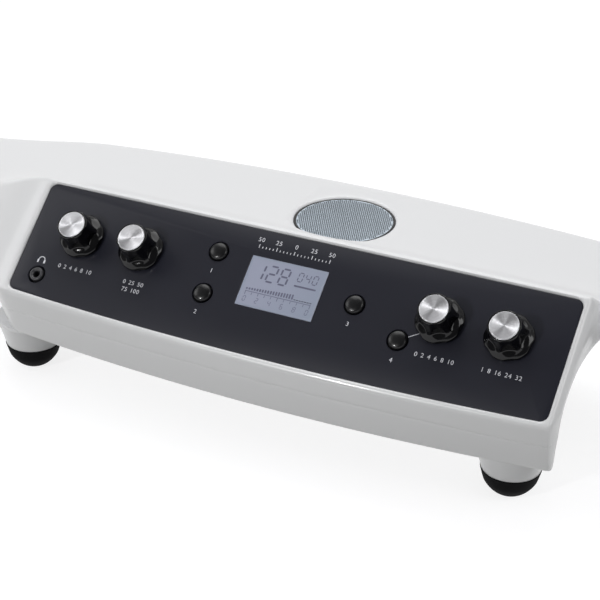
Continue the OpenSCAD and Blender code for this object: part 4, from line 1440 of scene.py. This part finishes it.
class THEREMIN_OT_housing(bpy.types.Operator):
    """Mould the two halves of the housing"""
    bl_idname = "theremin.housing"
    bl_label = "Housing"

    def execute(self, context):
        build_top_shell()
        build_bottom_shell()
        return {"FINISHED"}


class THEREMIN_OT_panel(bpy.types.Operator):
    """Cut the control panel, its print and its display"""
    bl_idname = "theremin.panel"
    bl_label = "Panel and display"

    def execute(self, context):
        build_control_panel()
        build_print()
        build_display()
        build_headphone_jack()
        return {"FINISHED"}


class THEREMIN_OT_knobs(bpy.types.Operator):
    """Turn the four fluted knobs and their spun inlays"""
    bl_idname = "theremin.knobs"
    bl_label = "Knobs"

    def execute(self, context):
        build_knobs()
        return {"FINISHED"}


class THEREMIN_OT_buttons(bpy.types.Operator):
    """Turn the four domed push buttons"""
    bl_idname = "theremin.buttons"
    bl_label = "Buttons"

    def execute(self, context):
        build_buttons()
        return {"FINISHED"}


class THEREMIN_OT_grille(bpy.types.Operator):
    """Perforate the loudspeaker grille and set it in its ring"""
    bl_idname = "theremin.grille"
    bl_label = "Grille"

    def execute(self, context):
        build_grille()
        return {"FINISHED"}


class THEREMIN_OT_feet(bpy.types.Operator):
    """Mould the four rubber feet"""
    bl_idname = "theremin.feet"
    bl_label = "Feet"

    def execute(self, context):
        build_feet()
        return {"FINISHED"}


class THEREMIN_OT_fittings(bpy.types.Operator):
    """Make the screws, the socket's tongue and the inlet's pin"""
    bl_idname = "theremin.fittings"
    bl_label = "Small fittings"

    def execute(self, context):
        build_screws()
        build_contacts()
        return {"FINISHED"}


class THEREMIN_OT_antennas(bpy.types.Operator):
    """Make the rod and the loop"""
    bl_idname = "theremin.antennas"
    bl_label = "Antennas"

    def execute(self, context):
        build_pitch_antenna()
        build_volume_loop()
        return {"FINISHED"}


FRAME_FINISHES = {
    "display_module": "module_grey", "control_board": "board", "volume_pot": "zinc",
    "pitch_correction_pot": "zinc", "amount_pot": "zinc", "presets_encoder": "zinc",
    "pot_nuts": "zinc", "button_switches": "module_grey", "speaker_frame": "jack_black",
    "speaker_cone": "paper", "speaker_magnet": "zinc", "main_board": "board",
    "board_standoffs": "zinc", "rear_panel": "panel_black", "rear_board": "board",
    "left_output_jack": "jack_black", "right_output_jack": "jack_black",
    "pitch_cv_jack": "jack_black", "jack_nuts": "steel", "usb_socket": "zinc",
    "power_inlet": "gloss_black", "power_switch_body": "gloss_black", "stand_insert": "steel",
    "pitch_sensor_board": "board", "volume_sensor_board": "board",
    "volume_shaft": "steel", "pitch_correction_shaft": "steel", "amount_shaft": "steel",
    "presets_shaft": "steel", "power_rocker": "gloss_black",
}


class THEREMIN_OT_frame_finishes(bpy.types.Operator):
    """Give the frame's own parts their finishes"""
    bl_idname = "theremin.frame_finishes"
    bl_label = "Inner parts"

    def execute(self, context):
        for name, kind in FRAME_FINISHES.items():
            node = frame["nodes"][name]
            if not node.material_slots:
                node.data.materials.append(finish(kind))
            for slot in node.material_slots:
                slot.material = finish(kind)
        return {"FINISHED"}


class THEREMIN_PT_sidebar(bpy.types.Panel):
    """Lists the steps of the build"""
    bl_label = "Theremin"
    bl_idname = "THEREMIN_PT_sidebar"
    bl_space_type = "VIEW_3D"
    bl_region_type = "UI"
    bl_category = "Theremin"

    def draw(self, context):
        for look in LOOKS:
            group = getattr(context.scene, look)
            for prop in group.bl_rna.properties:
                if prop.identifier not in ("rna_type", "name"):
                    self.layout.prop(group, prop.identifier)
        for step in STEPS:
            self.layout.operator(step.bl_idname)


STEPS = (THEREMIN_OT_stage, THEREMIN_OT_housing, THEREMIN_OT_panel, THEREMIN_OT_knobs,
         THEREMIN_OT_buttons, THEREMIN_OT_grille, THEREMIN_OT_feet, THEREMIN_OT_fittings,
         THEREMIN_OT_antennas, THEREMIN_OT_frame_finishes)
LOOKS = {"housing_look": HousingLook, "control_look": ControlLook, "grille_look": GrilleLook,
         "stage_look": StageLook}


def register():
    for look, group in LOOKS.items():
        bpy.utils.register_class(group)
        setattr(bpy.types.Scene, look, PointerProperty(type=group))
    for item in (*STEPS, THEREMIN_PT_sidebar):
        bpy.utils.register_class(item)


def unregister():
    for item in reversed((*STEPS, THEREMIN_PT_sidebar)):
        bpy.utils.unregister_class(item)
    for look, group in LOOKS.items():
        delattr(bpy.types.Scene, look)
        bpy.utils.unregister_class(group)


def main():
    register()
    for step in STEPS:
        group, action = step.bl_idname.split(".")
        getattr(getattr(bpy.ops, group), action)()


if __name__ == "__main__":
    main()
